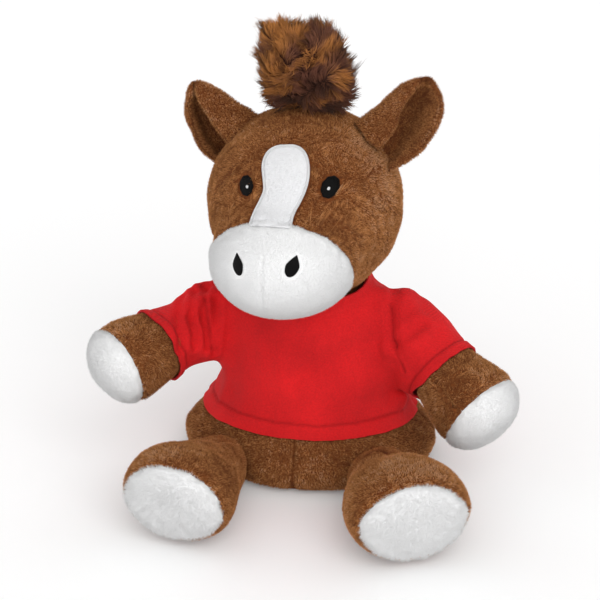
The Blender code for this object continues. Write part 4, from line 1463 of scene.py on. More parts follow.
@dataclass
class Ear:
    """A soft padded ear: its inner side is folded forwards as a flap over the darker lining.

    Four lines run from its base to its tip: the flap's free edge, the bend at the inner outline,
    the hollow's floor behind the flap and the outer rim. Each has its pixels in the photograph,
    and how many millimetres it stands behind the ear's own plane. The angles, in degrees, are the
    ear's rise on the head and its turns about its own height and width.
    """

    side: Side
    head: Head
    seat: float = 1.6 * MM
    root: float = 4.5 * MM
    thick: float = 2.4 * MM
    rim: float = 1.8 * MM
    inset: float = 1.9 * MM
    top: float = 0.955
    step: float = 0.02
    hang_from: float = 1 * MM
    hang_to: float = 9 * MM
    hollow_width: float = 5.5 * MM
    lines: tuple[float, ...] = (-1.0, -0.4, 0.2, 1.0)
    depths: tuple[tuple[float, ...], ...] = (
        (-7.5, -7.0, -6.0, -4.0, -1.0), (-1.0, -0.5, 0.0, 0.0, 0.0), (5.0, 8.0, 9.0, 6.5, 1.5),
        (-3.5, -3.0, -2.5, -1.5, 0.0))
    angles: dict[Side, tuple[float, float, float]] = sided((37.5, -9.0, 4.0), (41.0, 9.0, 29.0))
    pixels: dict[Side, tuple[tuple[Pixel, ...], ...]] = field(default_factory=lambda: {
        Side.LEFT: (
            ((388, 143), (397, 128), (402, 113), (410, 99), (423, 82)),
            ((362, 114), (377, 104.5), (388, 94), (401, 84), (420, 78)),
            ((392, 148), (402, 130), (411, 115), (422, 98), (429, 73)),
            ((400.6, 170), (424, 154), (440, 131), (446.5, 106), (436, 79.5))),
        Side.RIGHT: (
            ((226.6, 145), (217, 133), (207.5, 119), (198, 104), (193, 88)),
            ((257.2, 112), (241, 102.5), (228, 93), (214, 85), (198, 80.5)),
            ((222, 150), (211, 135), (202, 120), (195, 106), (193, 76)),
            ((216, 167), (200, 155), (189, 133), (183, 109), (188, 83))),
    })

    def __post_init__(self) -> None:
        """Place the ear on the head and its lines in space."""
        up, turn_out, turn_up = (math.radians(angle) for angle in self.angles[self.side])
        sign = self.side.value
        reach = self.head.radius + self.seat
        place = Vector((math.cos(up) * sign, 0.0, math.sin(up))) * reach
        turn = Matrix.Rotation((math.pi / 2 - up) * sign, 4, "Y")
        turn @= Matrix.Rotation(turn_out, 4, "Z")
        turn @= Matrix.Rotation(turn_up, 4, "X")
        self.place = self.head.place @ Matrix.Translation(place) @ turn
        back = (self.place.to_3x3() @ Vector((0.0, 1.0, 0.0))).normalized()
        spots = [
            [VIEW.on_plane(pixel, self.place.translation + back * depth * MM, back)
             for pixel, depth in zip(*line)]
            for line in zip(self.pixels[self.side], self.depths)
        ]
        for edge, bend, _, rim in zip(*spots):
            inwards = (rim - bend).normalized() * self.inset
            edge += (bend - edge).normalized() * self.inset * 0.6
            bend += inwards
            rim -= inwards
        self.spots = np.array([[spot[:] for spot in line] for line in spots])

    def leaf(self, across: float, along: float) -> Vector:
        """Return a point of the ear's middle surface.

        Args:
            across: -1 at the flap's free edge to 1 at the outer rim.
            along: 0 at the base to 1 at the tip.

        Returns:
            The point.
        """
        if along < 0:
            foot, next_up = self.leaf(across, 0.0), self.leaf(across, 0.1)
            return foot + (foot - next_up).normalized() * -along * self.root * 10
        stations = np.linspace(0, 1, self.spots.shape[1])
        row = [[smooth_interp(along * self.top, stations, line[:, axis]) for axis in range(3)]
               for line in self.spots]
        return Vector([smooth_interp(across, self.lines, [spot[axis] for spot in row]) for axis in range(3)])

    def build(self) -> None:
        """Make the ear's leaf, its lining and their pile."""
        bm = bmesh.new()
        bmesh.ops.create_cube(bm, size=2.0)
        bmesh.ops.subdivide_edges(bm, edges=bm.edges[:], cuts=39, use_grid_fill=True)
        step = self.step
        frames: dict[Pair, tuple[Vector, Vector]] = {}
        for vert in bm.verts:
            across, layer, along = vert.co.x, vert.co.y, (vert.co.z + 1) / 2 * 1.1 - 0.1
            key = (round(across, 4), round(along, 4))
            if key not in frames:
                du = self.leaf(across + step, along) - self.leaf(across - step, along)
                dv = self.leaf(across, along + step) - self.leaf(across, along - step)
                frames[key] = self.leaf(across, along), du.cross(dv).normalized()
            middle, normal = frames[key]
            edge = min((1 - abs(across)) * 13 * MM, (1 - along) * 30 * MM)
            full = math.sqrt(1 - (1 - min(1.0, edge / self.rim + 0.12)) ** 2)
            vert.co = middle + normal * layer * full * self.thick / 2
        bmesh.ops.remove_doubles(bm, verts=bm.verts[:], dist=0.01 * MM)
        bmesh.ops.recalc_face_normals(bm, faces=bm.faces[:])
        surface = Surface(meshed(bm, "ear"))
        surface.smooth(3)
        surface.raise_by(Waves(0.25 * MM, 9 * MM, 50 + self.side.value).at(surface.points()))
        lining = self.inside(surface)
        cover = link("ear_cover_" + self.side.word, surface.mesh, EAR_PILE.ground())
        self.hang(cover)
        finish(cover, "brown_pile", "ear_back_" + self.side.word, "ear_lining_" + self.side.word)
        tree = found(surface.points())
        floor = [Vector(spot) for spot in self.spots[2]]
        for word, inner, pile_finish in (("back", False, BROWN_PILE), ("lining", True, EAR_PILE)):
            def cover_of(points: Rows, normals: Rows, want: bool = inner) -> Rows:
                """Return 1 on the wanted side of the ear."""
                near = np.array([lining[tree.find(point)[1]] for point in points])
                return (near == want) * 1.0

            def lit(points: Rows, want: bool = inner) -> Rows:
                """Return how much lighter the pile is painted: a little lighter all over, with painted shade
                in the lining's hollow.
                """
                return 0.1 - 0.5 * valley(line_distance(points, floor), self.hollow_width) * want

            thing = Crop(LEAF_PILE, 51 + inner).plant("ear_pile_" + word + "_" + self.side.word,
                                                      pile_finish.tufts(), surface, cover_of, brushed, lit)
            self.hang(thing)
            finish(thing, "brown_pile")

    def inside(self, surface: Surface) -> Rows:
        """Return True for the vertices that face into the ear's hollow."""
        points, normals = surface.points(), surface.normals()
        edge, _, floor, rim = self.spots
        spine = 0.35 * edge + 0.35 * rim + 0.3 * floor
        nearest = np.argmin(np.linalg.norm(points[:, None] - spine[None], axis=2), axis=1)
        return (normals * unit(spine[nearest] - points)).sum(axis=1) > 0.3

    def hang(self, thing: bpy.types.Object) -> None:
        """Bake a piece's placement into its mesh."""
        self.place @ Vector((0, 0, self.hang_from))
        self.place @ Vector((0, 0, self.hang_to))
        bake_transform(thing)


# Long fur


@dataclass
class LongFur:
    """The tuft on the crown, the mane behind it and the tail."""

    head: Head
    voxel: float = 1.3 * MM
    reach: float = 3.0 * MM
    sink: float = 0.25
    lean_back: float = 1.3
    lean_from: float = 7 * MM
    rows: int = 24
    left_pixels: tuple[Pixel, ...] = (
        (270, 17), (264, 27), (258, 38), (257, 50), (258, 64), (258, 76), (262, 88), (265, 97), (268, 106))
    right_pixels: tuple[Pixel, ...] = (
        (290, 17), (318, 27), (340, 38), (346, 50), (351, 64), (354, 76), (357, 88), (359, 97), (359, 106))

    def tuft(self, node: str, body: str, pile: Pile, seed: int, comb: Cover, inset: float) -> None:
        """Make one mass of fur: a dark core with locks all round.

        Args:
            node: The solid that it stands for.
            body: The body that carries it.
            pile: The locks' size and lie.
            seed: Which pattern of locks.
            comb: The direction of the locks at places with normals.
            inset: How far the core lies inside the solid.
        """
        surface = Surface.fused((node,), self.voxel)
        surface.smooth(10)
        surface.raise_by(np.full(len(surface.points()), -inset))
        surface.smooth(4)
        if node == "forelock_fur":
            self.outlined(surface)
        surface.raise_by(Waves(0.8 * MM, 7 * MM, seed).at(surface.points()))
        nodes = (node, "mane_backing") if node == "mane_fur" else (node,)
        core = dress(link(node + "_core", surface.mesh, LongFurFinish().material()), body, "long_fur", *nodes)
        for key in ("reach", "shade", "amber"):
            core.data.attributes.new(key, "FLOAT", "POINT")

        def everywhere(points: Rows, normals: Rows) -> Rows:
            """Return 1 at every place."""
            return np.ones(len(points))

        locks = Crop(pile, seed).plant(node + "_locks", LongFurFinish().material(), surface, everywhere, comb,
                                       amber=self.amber)
        dress(locks, body, "long_fur")

    def outlined(self, surface: Surface) -> None:
        """Widen the tuft row by row to the photograph's outline, less the locks' reach."""
        points = surface.points()
        across = np.array((VIEW.away.cross(UP)).normalized()) * -1
        up = np.cross(np.array(VIEW.away), across)
        middle = points.mean(axis=0)
        lines = [
            np.array([VIEW.on_plane(pixel, Vector(middle), VIEW.away)[:] for pixel in pixels]) - middle
            for pixels in (self.left_pixels, self.right_pixels)
        ]
        rise, side = (points - middle) @ up, (points - middle) @ across
        bins = np.linspace(rise.min(), rise.max(), self.rows)
        which = np.clip(np.digitize(rise, bins) - 1, 0, self.rows - 2)
        rows = [side[which == index] for index in range(self.rows - 1)]
        centres = (bins[1:] + bins[:-1]) / 2
        low, high = (np.interp(rise, centres, [choose(row) for row in rows]) for choose in (np.min, np.max))
        left, right = (np.interp(rise, (line @ up)[::-1], (line @ across)[::-1]) for line in lines)
        share = (side - low) / np.maximum(high - low, WELD)
        target = left + self.reach + share * (right - left - 2 * self.reach)
        sink = np.minimum(rise, 0.0) * self.sink
        back = self.lean_back * np.maximum(-rise - self.lean_from, 0.0)
        points = points + (target - side)[:, None] * across + sink[:, None] * up
        surface.put(points - back[:, None] * np.array(VIEW.away))
        surface.smooth(6)

    def amber(self, points: Rows) -> Rows:
        """Return the share of amber at each place."""
        own = self.head.local(points)
        patch = ripple(points, 11 * MM, 8) + 0.5 * ripple(points, 4 * MM, 9)
        high = 0.6 * (own[:, 2] - 52 * MM) / (10 * MM) - own[:, 0] / (20 * MM)
        return 1 / (1 + np.exp(-3.0 * (patch * 1.2 + high - 0.15)))

    def build(self) -> None:
        """Make the three masses of fur."""
        base = np.array(self.head.centre) + np.array((0.0, 0.0, 30 * MM))

        def flow(points: Rows, normals: Rows) -> Rows:
            """Return the tuft's strands' direction: up and outwards, in waves."""
            wave = np.stack([ripple(points, 10 * MM, seed) for seed in (64, 65, 66)], axis=1)
            return unit(points - base) + 0.75 * wave

        self.tuft("forelock_fur", "head", FORELOCK_PILE, 61, flow, 3.2 * MM)
        self.tuft("mane_fur", "head", MANE_PILE, 62, combed((0.0, 0.3, -1.0)), 3.0 * MM)
        self.tuft("tail_fur", "tail", MANE_PILE, 63, combed((0.0, 1.0, -0.5)), 2.4 * MM)


# Torso and limbs


@dataclass
class Torso:
    """The pear-shaped body bag, seen below the shirt's hem."""

    voxel: float = 1.8 * MM
    visible_top: float = 31 * MM
    floor: float = 1.2 * MM
    draw_in: float = 0.7 * MM
    stuffing_cap: float = 0.6 * MM
    seam_depth: float = 1.2 * MM
    seam_places: Pair = (-1.0 * MM, 3 * MM)
    seam_pucker: Waves = Waves(0.3, 5 * MM, 14)
    waves: Waves = Waves(0.25 * MM, 14 * MM, 15)
    pile_parting: float = 0.8 * MM
    # Spots of painted shade in the creases by the legs and a little painted light on the front, partly the
    # pile's lie.
    zones: tuple[Zone, ...] = ((240, 450, 9, -0.3), (350, 460, 9, -0.2), (300, 450, 10, 0.1))

    def shape(self) -> Surface:
        """Return the stuffed torso with its seams drawn in."""
        surface = Surface.fused(("torso_skin", "torso_stuffing", "pellet_pouch"), self.voxel)
        surface.smooth(12)
        points = surface.points()
        low = points[:, 2] < self.floor
        surface.raise_by(np.where(low, 0.0, -self.draw_in))
        points = surface.points()
        seams = self.seams(points, 2 * MM)
        surface.fill_out(np.clip(seams + low, 0, 1), self.stuffing_cap)
        surface.subdivide()
        points = surface.points()
        points[:, 0] *= 1 - WAIST * np.clip((points[:, 2] - 10 * MM) / (14 * MM), 0, 1)
        surface.put(points)
        depth = -self.seam_depth * self.seams(points, 1.0 * MM) * (1 + self.seam_pucker.at(points))
        depth += self.waves.at(points)
        surface.raise_by(depth * (points[:, 2] > 1.5 * MM))
        points = surface.points()
        points[:, 2] = np.maximum(points[:, 2], 0.0)
        surface.put(points)
        return surface

    def seams(self, points: Rows, width: float) -> Rows:
        """Return how near places lie to the front, back and side seams."""
        front, sides = (valley(points[:, axis] - place, width) for axis, place in enumerate(self.seam_places))
        return np.maximum(front, sides)

    def build(self) -> Surface:
        """Make the torso and return its surface."""
        surface = self.shape()
        cover = surface.part("torso_cover", BROWN_PILE.ground())
        dress(cover, "body", "brown_pile", "torso_skin", "torso_stuffing", "pellet_pouch")

        def seen(points: Rows, normals: Rows) -> Rows:
            """Return the pile's share: short on the floor, in seams and under the shirt."""
            share = np.clip((points[:, 2] - 0.2 * MM) / (2 * MM), 0.3, 1)
            share *= 1 - 0.85 * self.seams(points, self.pile_parting)
            share *= np.clip((self.visible_top - points[:, 2]) / (6 * MM), 0.25, 1)
            return (points[:, 2] < self.visible_top) * np.where(normals[:, 2] < -0.8, 0.0, share)

        def lit(points: Rows) -> Rows:
            """Return how much lighter the pile is painted: painted light and shade in spots, and painted
            shade along the seams' grooves.
            """
            return zones(surface, points, self.zones) - 0.9 * self.seams(points, self.pile_parting)

        thing = Crop(BODY_PILE, 21).plant("torso_pile", BROWN_PILE.tufts(), surface, seen, brushed, lit)
        keep_above_floor(thing)
        dress(thing, "body", "brown_pile")
        plug = Surface.fused(("neck_stuffing",), 1.0 * MM)
        plug.smooth(4)
        neck = dress(link("neck_fibre", plug.mesh, WHITE_PILE.ground()), "neck", "fibre", "neck_stuffing")
        return surface


@dataclass
class Limb:
    """An arm or a leg: a brown tube whose end cap is white."""

    side: Side
    kind: str
    tip: str
    place: Matrix
    seam: float
    seam_lean: float
    bulge: float
    voxel: float
    pile: Pile
    cap_pile: Pile
    seed: int
    slim: tuple[Pair, ...] = ((0.0, 1.0), (1.0, 1.0))
    fuller: Pair = (-0.6 * MM, -0.6 * MM)
    bare: float = -1.0
    seam_pixels: tuple[Pixel, ...] = ()
    zones: tuple[Zone, ...] = ()
    seam_line: list[Vector] = field(default_factory=list)
    stuffing_cap: float = 0.6 * MM
    cap_groove: Groove = Groove(0.0, 1.2 * MM, 0.9 * MM)
    cap_bank: Groove = Groove(2.5 * MM, 2.2 * MM, 1.0)
    cap_held: float = 1.8 * MM
    seam_depth: float = 1.1 * MM
    pile_parting: float = 0.8 * MM
    half_height: float = 13 * MM

    def seam_plane(self) -> tuple[Vector, Vector]:
        """Return a point of the white cap's seam plane and its outward normal."""
        normal = Vector((0.0, -math.sin(self.seam_lean), math.cos(self.seam_lean)))
        return self.place @ Vector((0.0, 0.0, self.seam)), (self.place.to_3x3() @ normal).normalized()

    def beyond_seam(self, points: Rows) -> Rows:
        """Return how far places lie beyond the white cap's seam."""
        point, normal = self.seam_plane()
        return (points - np.array(point)) @ np.array(normal)

    def own(self, points: Rows) -> Rows:
        """Return places in the limb's own frame."""
        return in_frame(points, self.place)

    def shape(self) -> Surface:
        """Return the stuffed limb with its seams drawn in."""
        side = self.side.word
        nodes = (self.kind + "_skin_" + side, self.kind + "_stuffing_" + side, self.tip + "_" + side)
        surface = Surface.fused(nodes, self.voxel)
        surface.smooth(12)
        points = surface.points()
        floor = self.kind == "leg"
        low = (points[:, 2] < 1.0 * MM) & floor
        share = np.clip(self.own(points)[:, 1] / self.half_height * 0.5 + 0.5, 0, 1)
        surface.raise_by(np.where(low, 0.0, self.fuller[0] * share + self.fuller[1] * (1 - share)))
        self.slimmed(surface)
        points = surface.points()
        held = valley(self.beyond_seam(points), self.cap_held) + low
        surface.fill_out(np.clip(held, 0, 1), self.stuffing_cap)
        surface.subdivide()
        points = surface.points()
        ahead = self.beyond_seam(points)
        depth = -self.cap_groove.at(ahead) * (1 + Waves(0.4, 5 * MM, self.seed).at(points))
        depth += Waves(0.2 * MM, 6 * MM, self.seed + 1).at(points) * self.cap_bank.at(np.abs(ahead))
        depth += Waves(self.bulge, 15 * MM, self.seed + 2).at(points)
        self.seam_line = surface.seen_line(self.seam_pixels)
        depth -= self.seam_depth * self.near_seam(points)
        surface.raise_by(depth * ~((points[:, 2] < 0.8 * MM) & floor))
        self.seam_line = surface.seen_line(self.seam_pixels)
        if floor:
            points = surface.points()
            points[:, 2] = np.maximum(points[:, 2], 0.0)
            surface.put(points)
        return surface

    def near_seam(self, points: Rows) -> Rows:
        """Return how near places lie to the tube's own seam, 0 to 1."""
        return valley(line_distance(points, self.seam_line), self.pile_parting)

    def slimmed(self, surface: Surface) -> None:
        """Draw the side that faces the other limb in, by a share for each place along the limb."""
        points = surface.points()
        own = self.own(points)
        shares = np.interp(own[:, 2] / self.seam, *zip(*self.slim))
        inner = own[:, 0] < 0 if self.side is Side.RIGHT else own[:, 0] > 0
        own[:, 0] = np.where(inner, own[:, 0] * shares, own[:, 0])
        own[:, 1] = np.where(own[:, 1] > 0, own[:, 1] * (0.4 + 0.6 * shares), own[:, 1])
        surface.put(own @ np.array(self.place.to_3x3()).T + np.array(self.place.translation))
        surface.smooth(3)

    def build(self) -> Surface:
        """Make the limb and return its surface."""
        side = self.side.word
        body = self.kind + "_" + side
        surface = self.shape()
        point, normal = self.seam_plane()
        skin = surface.part(self.kind + "_cover_" + side, BROWN_PILE.ground(), (point, normal))
        dress(skin, body, "brown_pile", self.kind + "_skin_" + side, self.kind + "_stuffing_" + side)
        cap = surface.part(self.tip + "_cover_" + side, WHITE_PILE.ground(), (point, -normal))
        dress(cap, body, "white_pile", self.tip + "_" + side)
        axis = np.array(self.place @ Vector((0.0, 0.0, self.seam)))

        def floor_share(points: Rows, normals: Rows) -> Rows:
            """Return the pile's share of its full length near the floor."""
            low = np.clip((points[:, 2] - 0.2 * MM) / (2 * MM), 0.3, 1)
            return np.where(normals[:, 2] < -0.85, 0.0, low) if self.kind == "leg" else np.ones(len(points))

        def brown(points: Rows, normals: Rows) -> Rows:
            """Return the brown pile's share of its full length: shorter in the top seam."""
            seen = self.own(points)[:, 2] > self.bare
            parted = 1 - 0.85 * self.near_seam(points)
            return (self.beyond_seam(points) < 0) * seen * parted * floor_share(points, normals)

        def white(points: Rows, normals: Rows) -> Rows:
            """Return the white pile's share of its full length."""
            return (self.beyond_seam(points) > 0) * floor_share(points, normals)

        def outward(points: Rows, normals: Rows) -> Rows:
            """Return the white pile's combing direction: away from the cap's middle."""
            return unit(points - axis) * 0.8

        def lit(points: Rows) -> Rows:
            """Return how much lighter the brown pile is painted: painted light and shade in spots, partly the
            pile's lie, and painted shade in the top seam's groove.
            """
            return zones(surface, points, self.zones) - 0.9 * self.near_seam(points)

        for name, cover, pile, pile_finish, comb, lights, slot in (
            ("_pile_", brown, self.pile, BROWN_PILE, brushed, lit, "brown_pile"),
            ("_" + self.tip + "_pile_", white, self.cap_pile, WHITE_PILE, outward, None, "white_pile"),
        ):
            crop = Crop(pile, self.seed + 5)
            thing = crop.plant(self.kind + name + side, pile_finish.tufts(), surface, cover, comb, lights)
            if self.kind == "leg":
                keep_above_floor(thing)
            dress(thing, body, slot)
        return surface


SHOULDER = (36.09, -3.0, 59.5)
ARM_ANGLES = {Side.LEFT: (35.5, -28.5), Side.RIGHT: (45.5, -13.0)}
ARM_SEAMS = {Side.LEFT: 47.2 * MM, Side.RIGHT: 48.4 * MM}
ARM_FULLER = {Side.LEFT: (2.2 * MM, 0.8 * MM), Side.RIGHT: (2.9 * MM, -1.6 * MM)}
ARM_BARE = {Side.LEFT: 26.0 * MM, Side.RIGHT: 23.0 * MM}
# Spots of painted light and painted shade on the arms, partly the pile's lie.
ARM_LIGHT_AND_NAP_ZONES = {
    Side.LEFT: ((490, 375, 9, 0.25), (455, 385, 5, -0.2)),
    Side.RIGHT: ((130, 330, 8, 0.2), (150, 372, 6, -0.2))}
ARM_SEAM_PIXELS = {Side.LEFT: ((434, 380), (445, 394), (457, 410)), Side.RIGHT: ()}
HIP = (25.0, -18.0)
LEG_HEIGHT = 24.6 * MM * 0.84 - 0.5 * MM
LEG_SPLAYS = {Side.LEFT: math.radians(21.0), Side.RIGHT: math.radians(11.0)}
LEG_SEAMS = {Side.LEFT: 71.0 * MM + 0.2 * MM, Side.RIGHT: 67.5 * MM + 0.2 * MM}
SOLE_LEAN = math.radians(8.0)
LEG_SLIM = {
    Side.LEFT: ((0.0, 0.95), (1.0, 0.97)), Side.RIGHT: ((0.0, 0.9), (0.45, 0.74), (0.75, 0.80), (1.0, 0.93))}
# Painted light on the left leg's lit top, and painted shade in the crease by the torso and on the right leg's
# inner side, partly the pile's lie.
LEG_LIGHT_AND_NAP_ZONES = {
    Side.LEFT: ((405, 468, 11, 0.6), (440, 470, 8, 0.3), (378, 452, 6, -0.3)),
    Side.RIGHT: ((155, 455, 8, 0.25), (196, 455, 8, 0.15), (228, 470, 9, -0.45), (235, 500, 8, -0.3))}
LEG_SEAM_PIXELS = {
    Side.LEFT: ((366, 458), (378, 452), (392, 450)), Side.RIGHT: ((182, 436), (176, 448), (170, 464))}


def arm(side: Side) -> Limb:
    """Return one arm."""
    out, up = (math.radians(angle) for angle in ARM_ANGLES[side])
    aim = Vector((math.cos(out) * math.cos(up) * side.value, -math.sin(out) * math.cos(up), math.sin(up)))
    across, ahead, rise = SHOULDER
    place = aimed(Vector((across * side.value, ahead, rise)) * MM, aim)
    return Limb(side, "arm", "hoof", place, ARM_SEAMS[side], 0.0, 0.2 * MM, 1.4 * MM, BODY_PILE, HOOF_PILE,
                71 + side.value, fuller=ARM_FULLER[side], bare=ARM_BARE[side],
                seam_pixels=ARM_SEAM_PIXELS[side], zones=ARM_LIGHT_AND_NAP_ZONES[side])


def leg(side: Side) -> Limb:
    """Return one leg."""
    splay = LEG_SPLAYS[side]
    aim = Vector((math.sin(splay) * side.value, -math.cos(splay), 0.0))
    place = aimed(Vector((HIP[0] * MM * side.value, HIP[1] * MM, LEG_HEIGHT)), aim)
    return Limb(side, "leg", "sole", place, LEG_SEAMS[side], SOLE_LEAN, 0.25 * MM, 1.6 * MM,
                BODY_PILE, SOLE_PILE, 81 + side.value, LEG_SLIM[side], seam_pixels=LEG_SEAM_PIXELS[side],
                zones=LEG_LIGHT_AND_NAP_ZONES[side])


# T-shirt


@dataclass
class Shirt:
    """The red T-shirt: body, two sleeves and a doubled collar, cut from one draped surface."""

    head: Surface
    torso: Surface
    limbs: dict[Side, Surface]
    legs: dict[Side, Surface]
    hem_rise: float = 24.0 * MM
    height: float = 58.5 * MM
    depth_share: float = 0.80
    band: float = 5.0 * MM
    collar_seam: float = 75.4 * MM
    collar_band: float = 3.4 * MM
    collar_tilt: float = math.radians(7.5)
    sleeve_radii: dict[Side, Pair] = sided((16.0 * MM, 16.8 * MM), (15.0 * MM, 16.0 * MM))
    sleeve_lifts: dict[Side, float] = sided(2.4 * MM, 2.8 * MM)
    sleeve_ends: dict[Side, float] = sided(28.5 * MM, 32.0 * MM)
    sleeve_start: float = -8 * MM
    sleeve_spare: float = 4 * MM
    sleeve_reach: float = 22 * MM
    side_drop: float = 4.5 * MM
    body_cut: Pair = (0.262, 0.082)
    sleeve_cut: Pair = (0.100, 0.042)
    cloth: float = 1.0 * MM
    hem_raise: float = 0.45 * MM
    stitch_depth: float = 0.8 * MM
    stitch_width: float = 0.55 * MM
    seam_width: float = 0.6 * MM
    cap: float = 4.5 * MM
    loose_cap: float = 1.2 * MM
    hug_reach: float = 7.0 * MM
    hug_rise: float = 3.0 * MM
    hug_radius: float = 38 * MM
    hug_start: float = 12.0 * MM
    hug_length: float = 14 * MM
    neck_across: float = -1.6 * MM
    clearance: float = 1.6 * MM
    sleeve_gap: float = 1.7 * MM
    torso_gap: float = 1.7 * MM
    voxel: float = 1.5 * MM
    body_voxel: float = 2.6 * MM
    frames: int = 34
    friction: float = 12.0
    thickness: float = 0.011
    stiffness: float = 12.0
    shoulder_share: float = 0.70
    pinch_share: float = 0.16
    grow: float = 0.035
    armpit_share: float = 0.86
    armholes: tuple[tuple[Pixel, ...], ...] = (
        ((393, 280), (391, 304), (393, 343), (405, 372)), ((205, 300), (209, 325), (212, 350)))
    creases: tuple[tuple[tuple[Pixel, ...], float, float], ...] = (
        (((196, 292), (190, 318), (194, 344)), 1.3, 1.6), (((206, 288), (203, 312), (207, 345)), 1.7, 1.7),
        (((184, 296), (177, 322), (180, 348)), 0.9, 1.6), (((216, 300), (214, 330), (214, 352)), 1.6, 1.7),
        (((395, 345), (408, 336), (422, 325)), 1.0, 2.4), (((393, 290), (391, 310), (393, 343)), 0.9, 2.0),
        (((380, 332), (345, 352), (300, 375)), 0.6, 4.0), (((398, 352), (392, 380), (394, 400)), 0.8, 3.0),
        (((232, 330), (236, 360), (232, 390)), 0.4, 4.0), (((420, 300), (432, 320), (440, 345)), 0.4, 3.0),
    )
    armhole_crease: Pair = (0.8, 0.6)
    waves: Waves = Waves(0.35 * MM, 17 * MM, 22)
    crease_depth: float = 1.5 * MM
    bank_height: float = 0.6 * MM
    bank_place: float = 1.9
    shares: tuple[Pair, ...] = (
        (0.62, 1.0), (0.68, 0.975), (0.735, 0.925), (0.785, 0.84), (0.81, 0.72), (0.85, 0.50), (0.915, 0.30),
        (0.965, 0.13), (0.985, 0.09), (1.0, 0.0))

    def __post_init__(self) -> None:
        """Place the sleeves on the arms and the collar's plane."""
        self.arms = {side: arm(side).place for side in Side}
        low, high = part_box("shirt_body")
        self.half_width = (high.x - low.x) / 2
        self.collar_normal = Vector((0.0, -math.sin(self.collar_tilt), math.cos(self.collar_tilt)))
        self.collar_at = Vector((0, 0, self.collar_seam))

    def over_collar(self, points: Rows) -> Rows:
        """Return how far places lie above the collar's seam."""
        return (points - np.array(self.collar_at)) @ np.array(self.collar_normal)

    def body_solid(self) -> bpy.types.Mesh:
        """Return the shirt's turned body, closed above and below."""
        bm = bmesh.new()
        across, high = zip(*reversed(self.shares))
        count = 40
        verts = [bm.verts.new((0.0, 0.0, self.hem_rise - self.band))]
        for index in range(-4, count + 1):
            level = index / count
            wide = self.half_width * float(np.interp(level, high, across))
            verts.append(bm.verts.new((wide, 0.0, self.hem_rise + self.height * level)))
        verts.append(bm.verts.new((0.0, 0.0, self.hem_rise + self.height + 6 * MM)))
        edges = [bm.edges.new(pair) for pair in zip(verts, verts[1:])]
        bmesh.ops.spin(bm, geom=verts + edges, cent=(0, 0, 0), axis=(0, 0, 1), angle=2 * math.pi, steps=96,
                       use_merge=True)
        bmesh.ops.remove_doubles(bm, verts=bm.verts[:], dist=WELD)
        bmesh.ops.scale(bm, verts=bm.verts[:], vec=(1.0, self.depth_share, 1.0))
        for vert in bm.verts:
            pinch = self.pinch(vert.co.z)
            vert.co.x = vert.co.x * (1 - self.pinch_share * pinch) + self.neck_across * pinch
        bmesh.ops.recalc_face_normals(bm, faces=bm.faces[:])
        return meshed(bm, "shirt_solid")

    def pinch(self, rise: float) -> float:
        """Return how far the shoulders are drawn in to the neck at a height, 0 to 1."""
        level = (rise - self.hem_rise) / self.height
        return eased(max(0.0, min(1.0, (level - self.shoulder_share) / (1 - self.shoulder_share))))

    def sleeve_solid(self, side: Side) -> bpy.types.Mesh:
        """Return one sleeve's tapered solid, closed at both ends."""
        bm = bmesh.new()
        start, end = self.sleeve_start, self.sleeve_ends[side] + self.sleeve_spare
        root, hem = self.sleeve_radii[side]
        bmesh.ops.create_cone(bm, cap_ends=True, segments=64, radius1=root, radius2=hem, depth=end - start)
        bmesh.ops.translate(bm, verts=bm.verts[:], vec=(0, 0, (start + end) / 2))
        for vert in bm.verts:
            if side is Side.RIGHT and vert.co.y < 0:
                vert.co.y *= self.armpit_share
            vert.co.y += self.sleeve_lifts[side] * max(vert.co.z, 0.0) / end
        bmesh.ops.transform(bm, matrix=self.arms[side], verts=bm.verts[:])
        return meshed(bm, "sleeve_solid")

    def along(self, points: Rows, side: Side) -> tuple[Rows, Rows]:
        """Return how far places lie along a sleeve, and from its axis."""
        own = in_frame(points, self.arms[side])
        return own[:, 2], np.hypot(own[:, 0], own[:, 1])

    def folds(self, surface: Surface) -> Rows:
        """Return the folds that the photograph shows, as heights over the surface."""
        points = surface.points()
        heights = np.zeros(len(points))
        seams = tuple((pixels, *self.armhole_crease) for pixels in self.armholes)
        for pixels, depth, width in self.creases + seams:
            away = line_distance(points, surface.seen_line(pixels))
            heights -= depth * self.crease_depth * valley(away, width * MM)
            heights += depth * self.bank_height * valley(away - width * self.bank_place * MM, width * MM)
        return heights + self.waves.at(points)

    def shape(self) -> Surface:
        """Return the shirt as one open surface with its folds."""
        solids = [self.body_solid(), *(self.sleeve_solid(side) for side in Side)]
        surface = Surface.fused((), self.voxel, solids)
        surface.smooth(8)
        bm = bmesh.new()
        bm.from_mesh(surface.mesh)
        cut_off(bm, Vector((0, 0, self.hem_rise)), Vector((0, 0, -1)))
        cut_off(bm, self.collar_at + self.collar_normal * self.collar_band, self.collar_normal)
        for side in Side:
            place = self.arms[side]
            cut_off(bm, place @ Vector((0, 0, self.sleeve_ends[side])), place.to_3x3() @ Vector((0, 0, 1)))
        bm.to_mesh(surface.mesh)
        bm.free()
        surface.mesh.update()
        self.lower_sides(surface)
        self.drape(surface)
        self.take_in(surface)
        self.hug(surface)
        self.keep_clear(surface)
        surface.subdivide()
        heights = self.folds(surface)
        points = surface.points()
        level = points[:, 2] - self.hem_rise + self.side_drop * self.flank(points)
        seams = valley(level - self.band, self.stitch_width)
        heights += self.hem_raise * (level < self.band) - self.stitch_depth * seams
        for side in Side:
            along, away = self.along(points, side)
            band = self.sleeve_ends[side] - self.band
            near = away < self.sleeve_reach
            stitches = valley(along - band, self.stitch_width) * near
            heights += self.hem_raise * ((along > band) & near) - self.stitch_depth * stitches
            seams = np.maximum(seams, stitches)
        for pixels in self.armholes:
            away = line_distance(points, surface.seen_line(pixels))
            seams = np.maximum(seams, valley(away, self.seam_width))
        surface.raise_by(heights)
        surface.smooth(1)
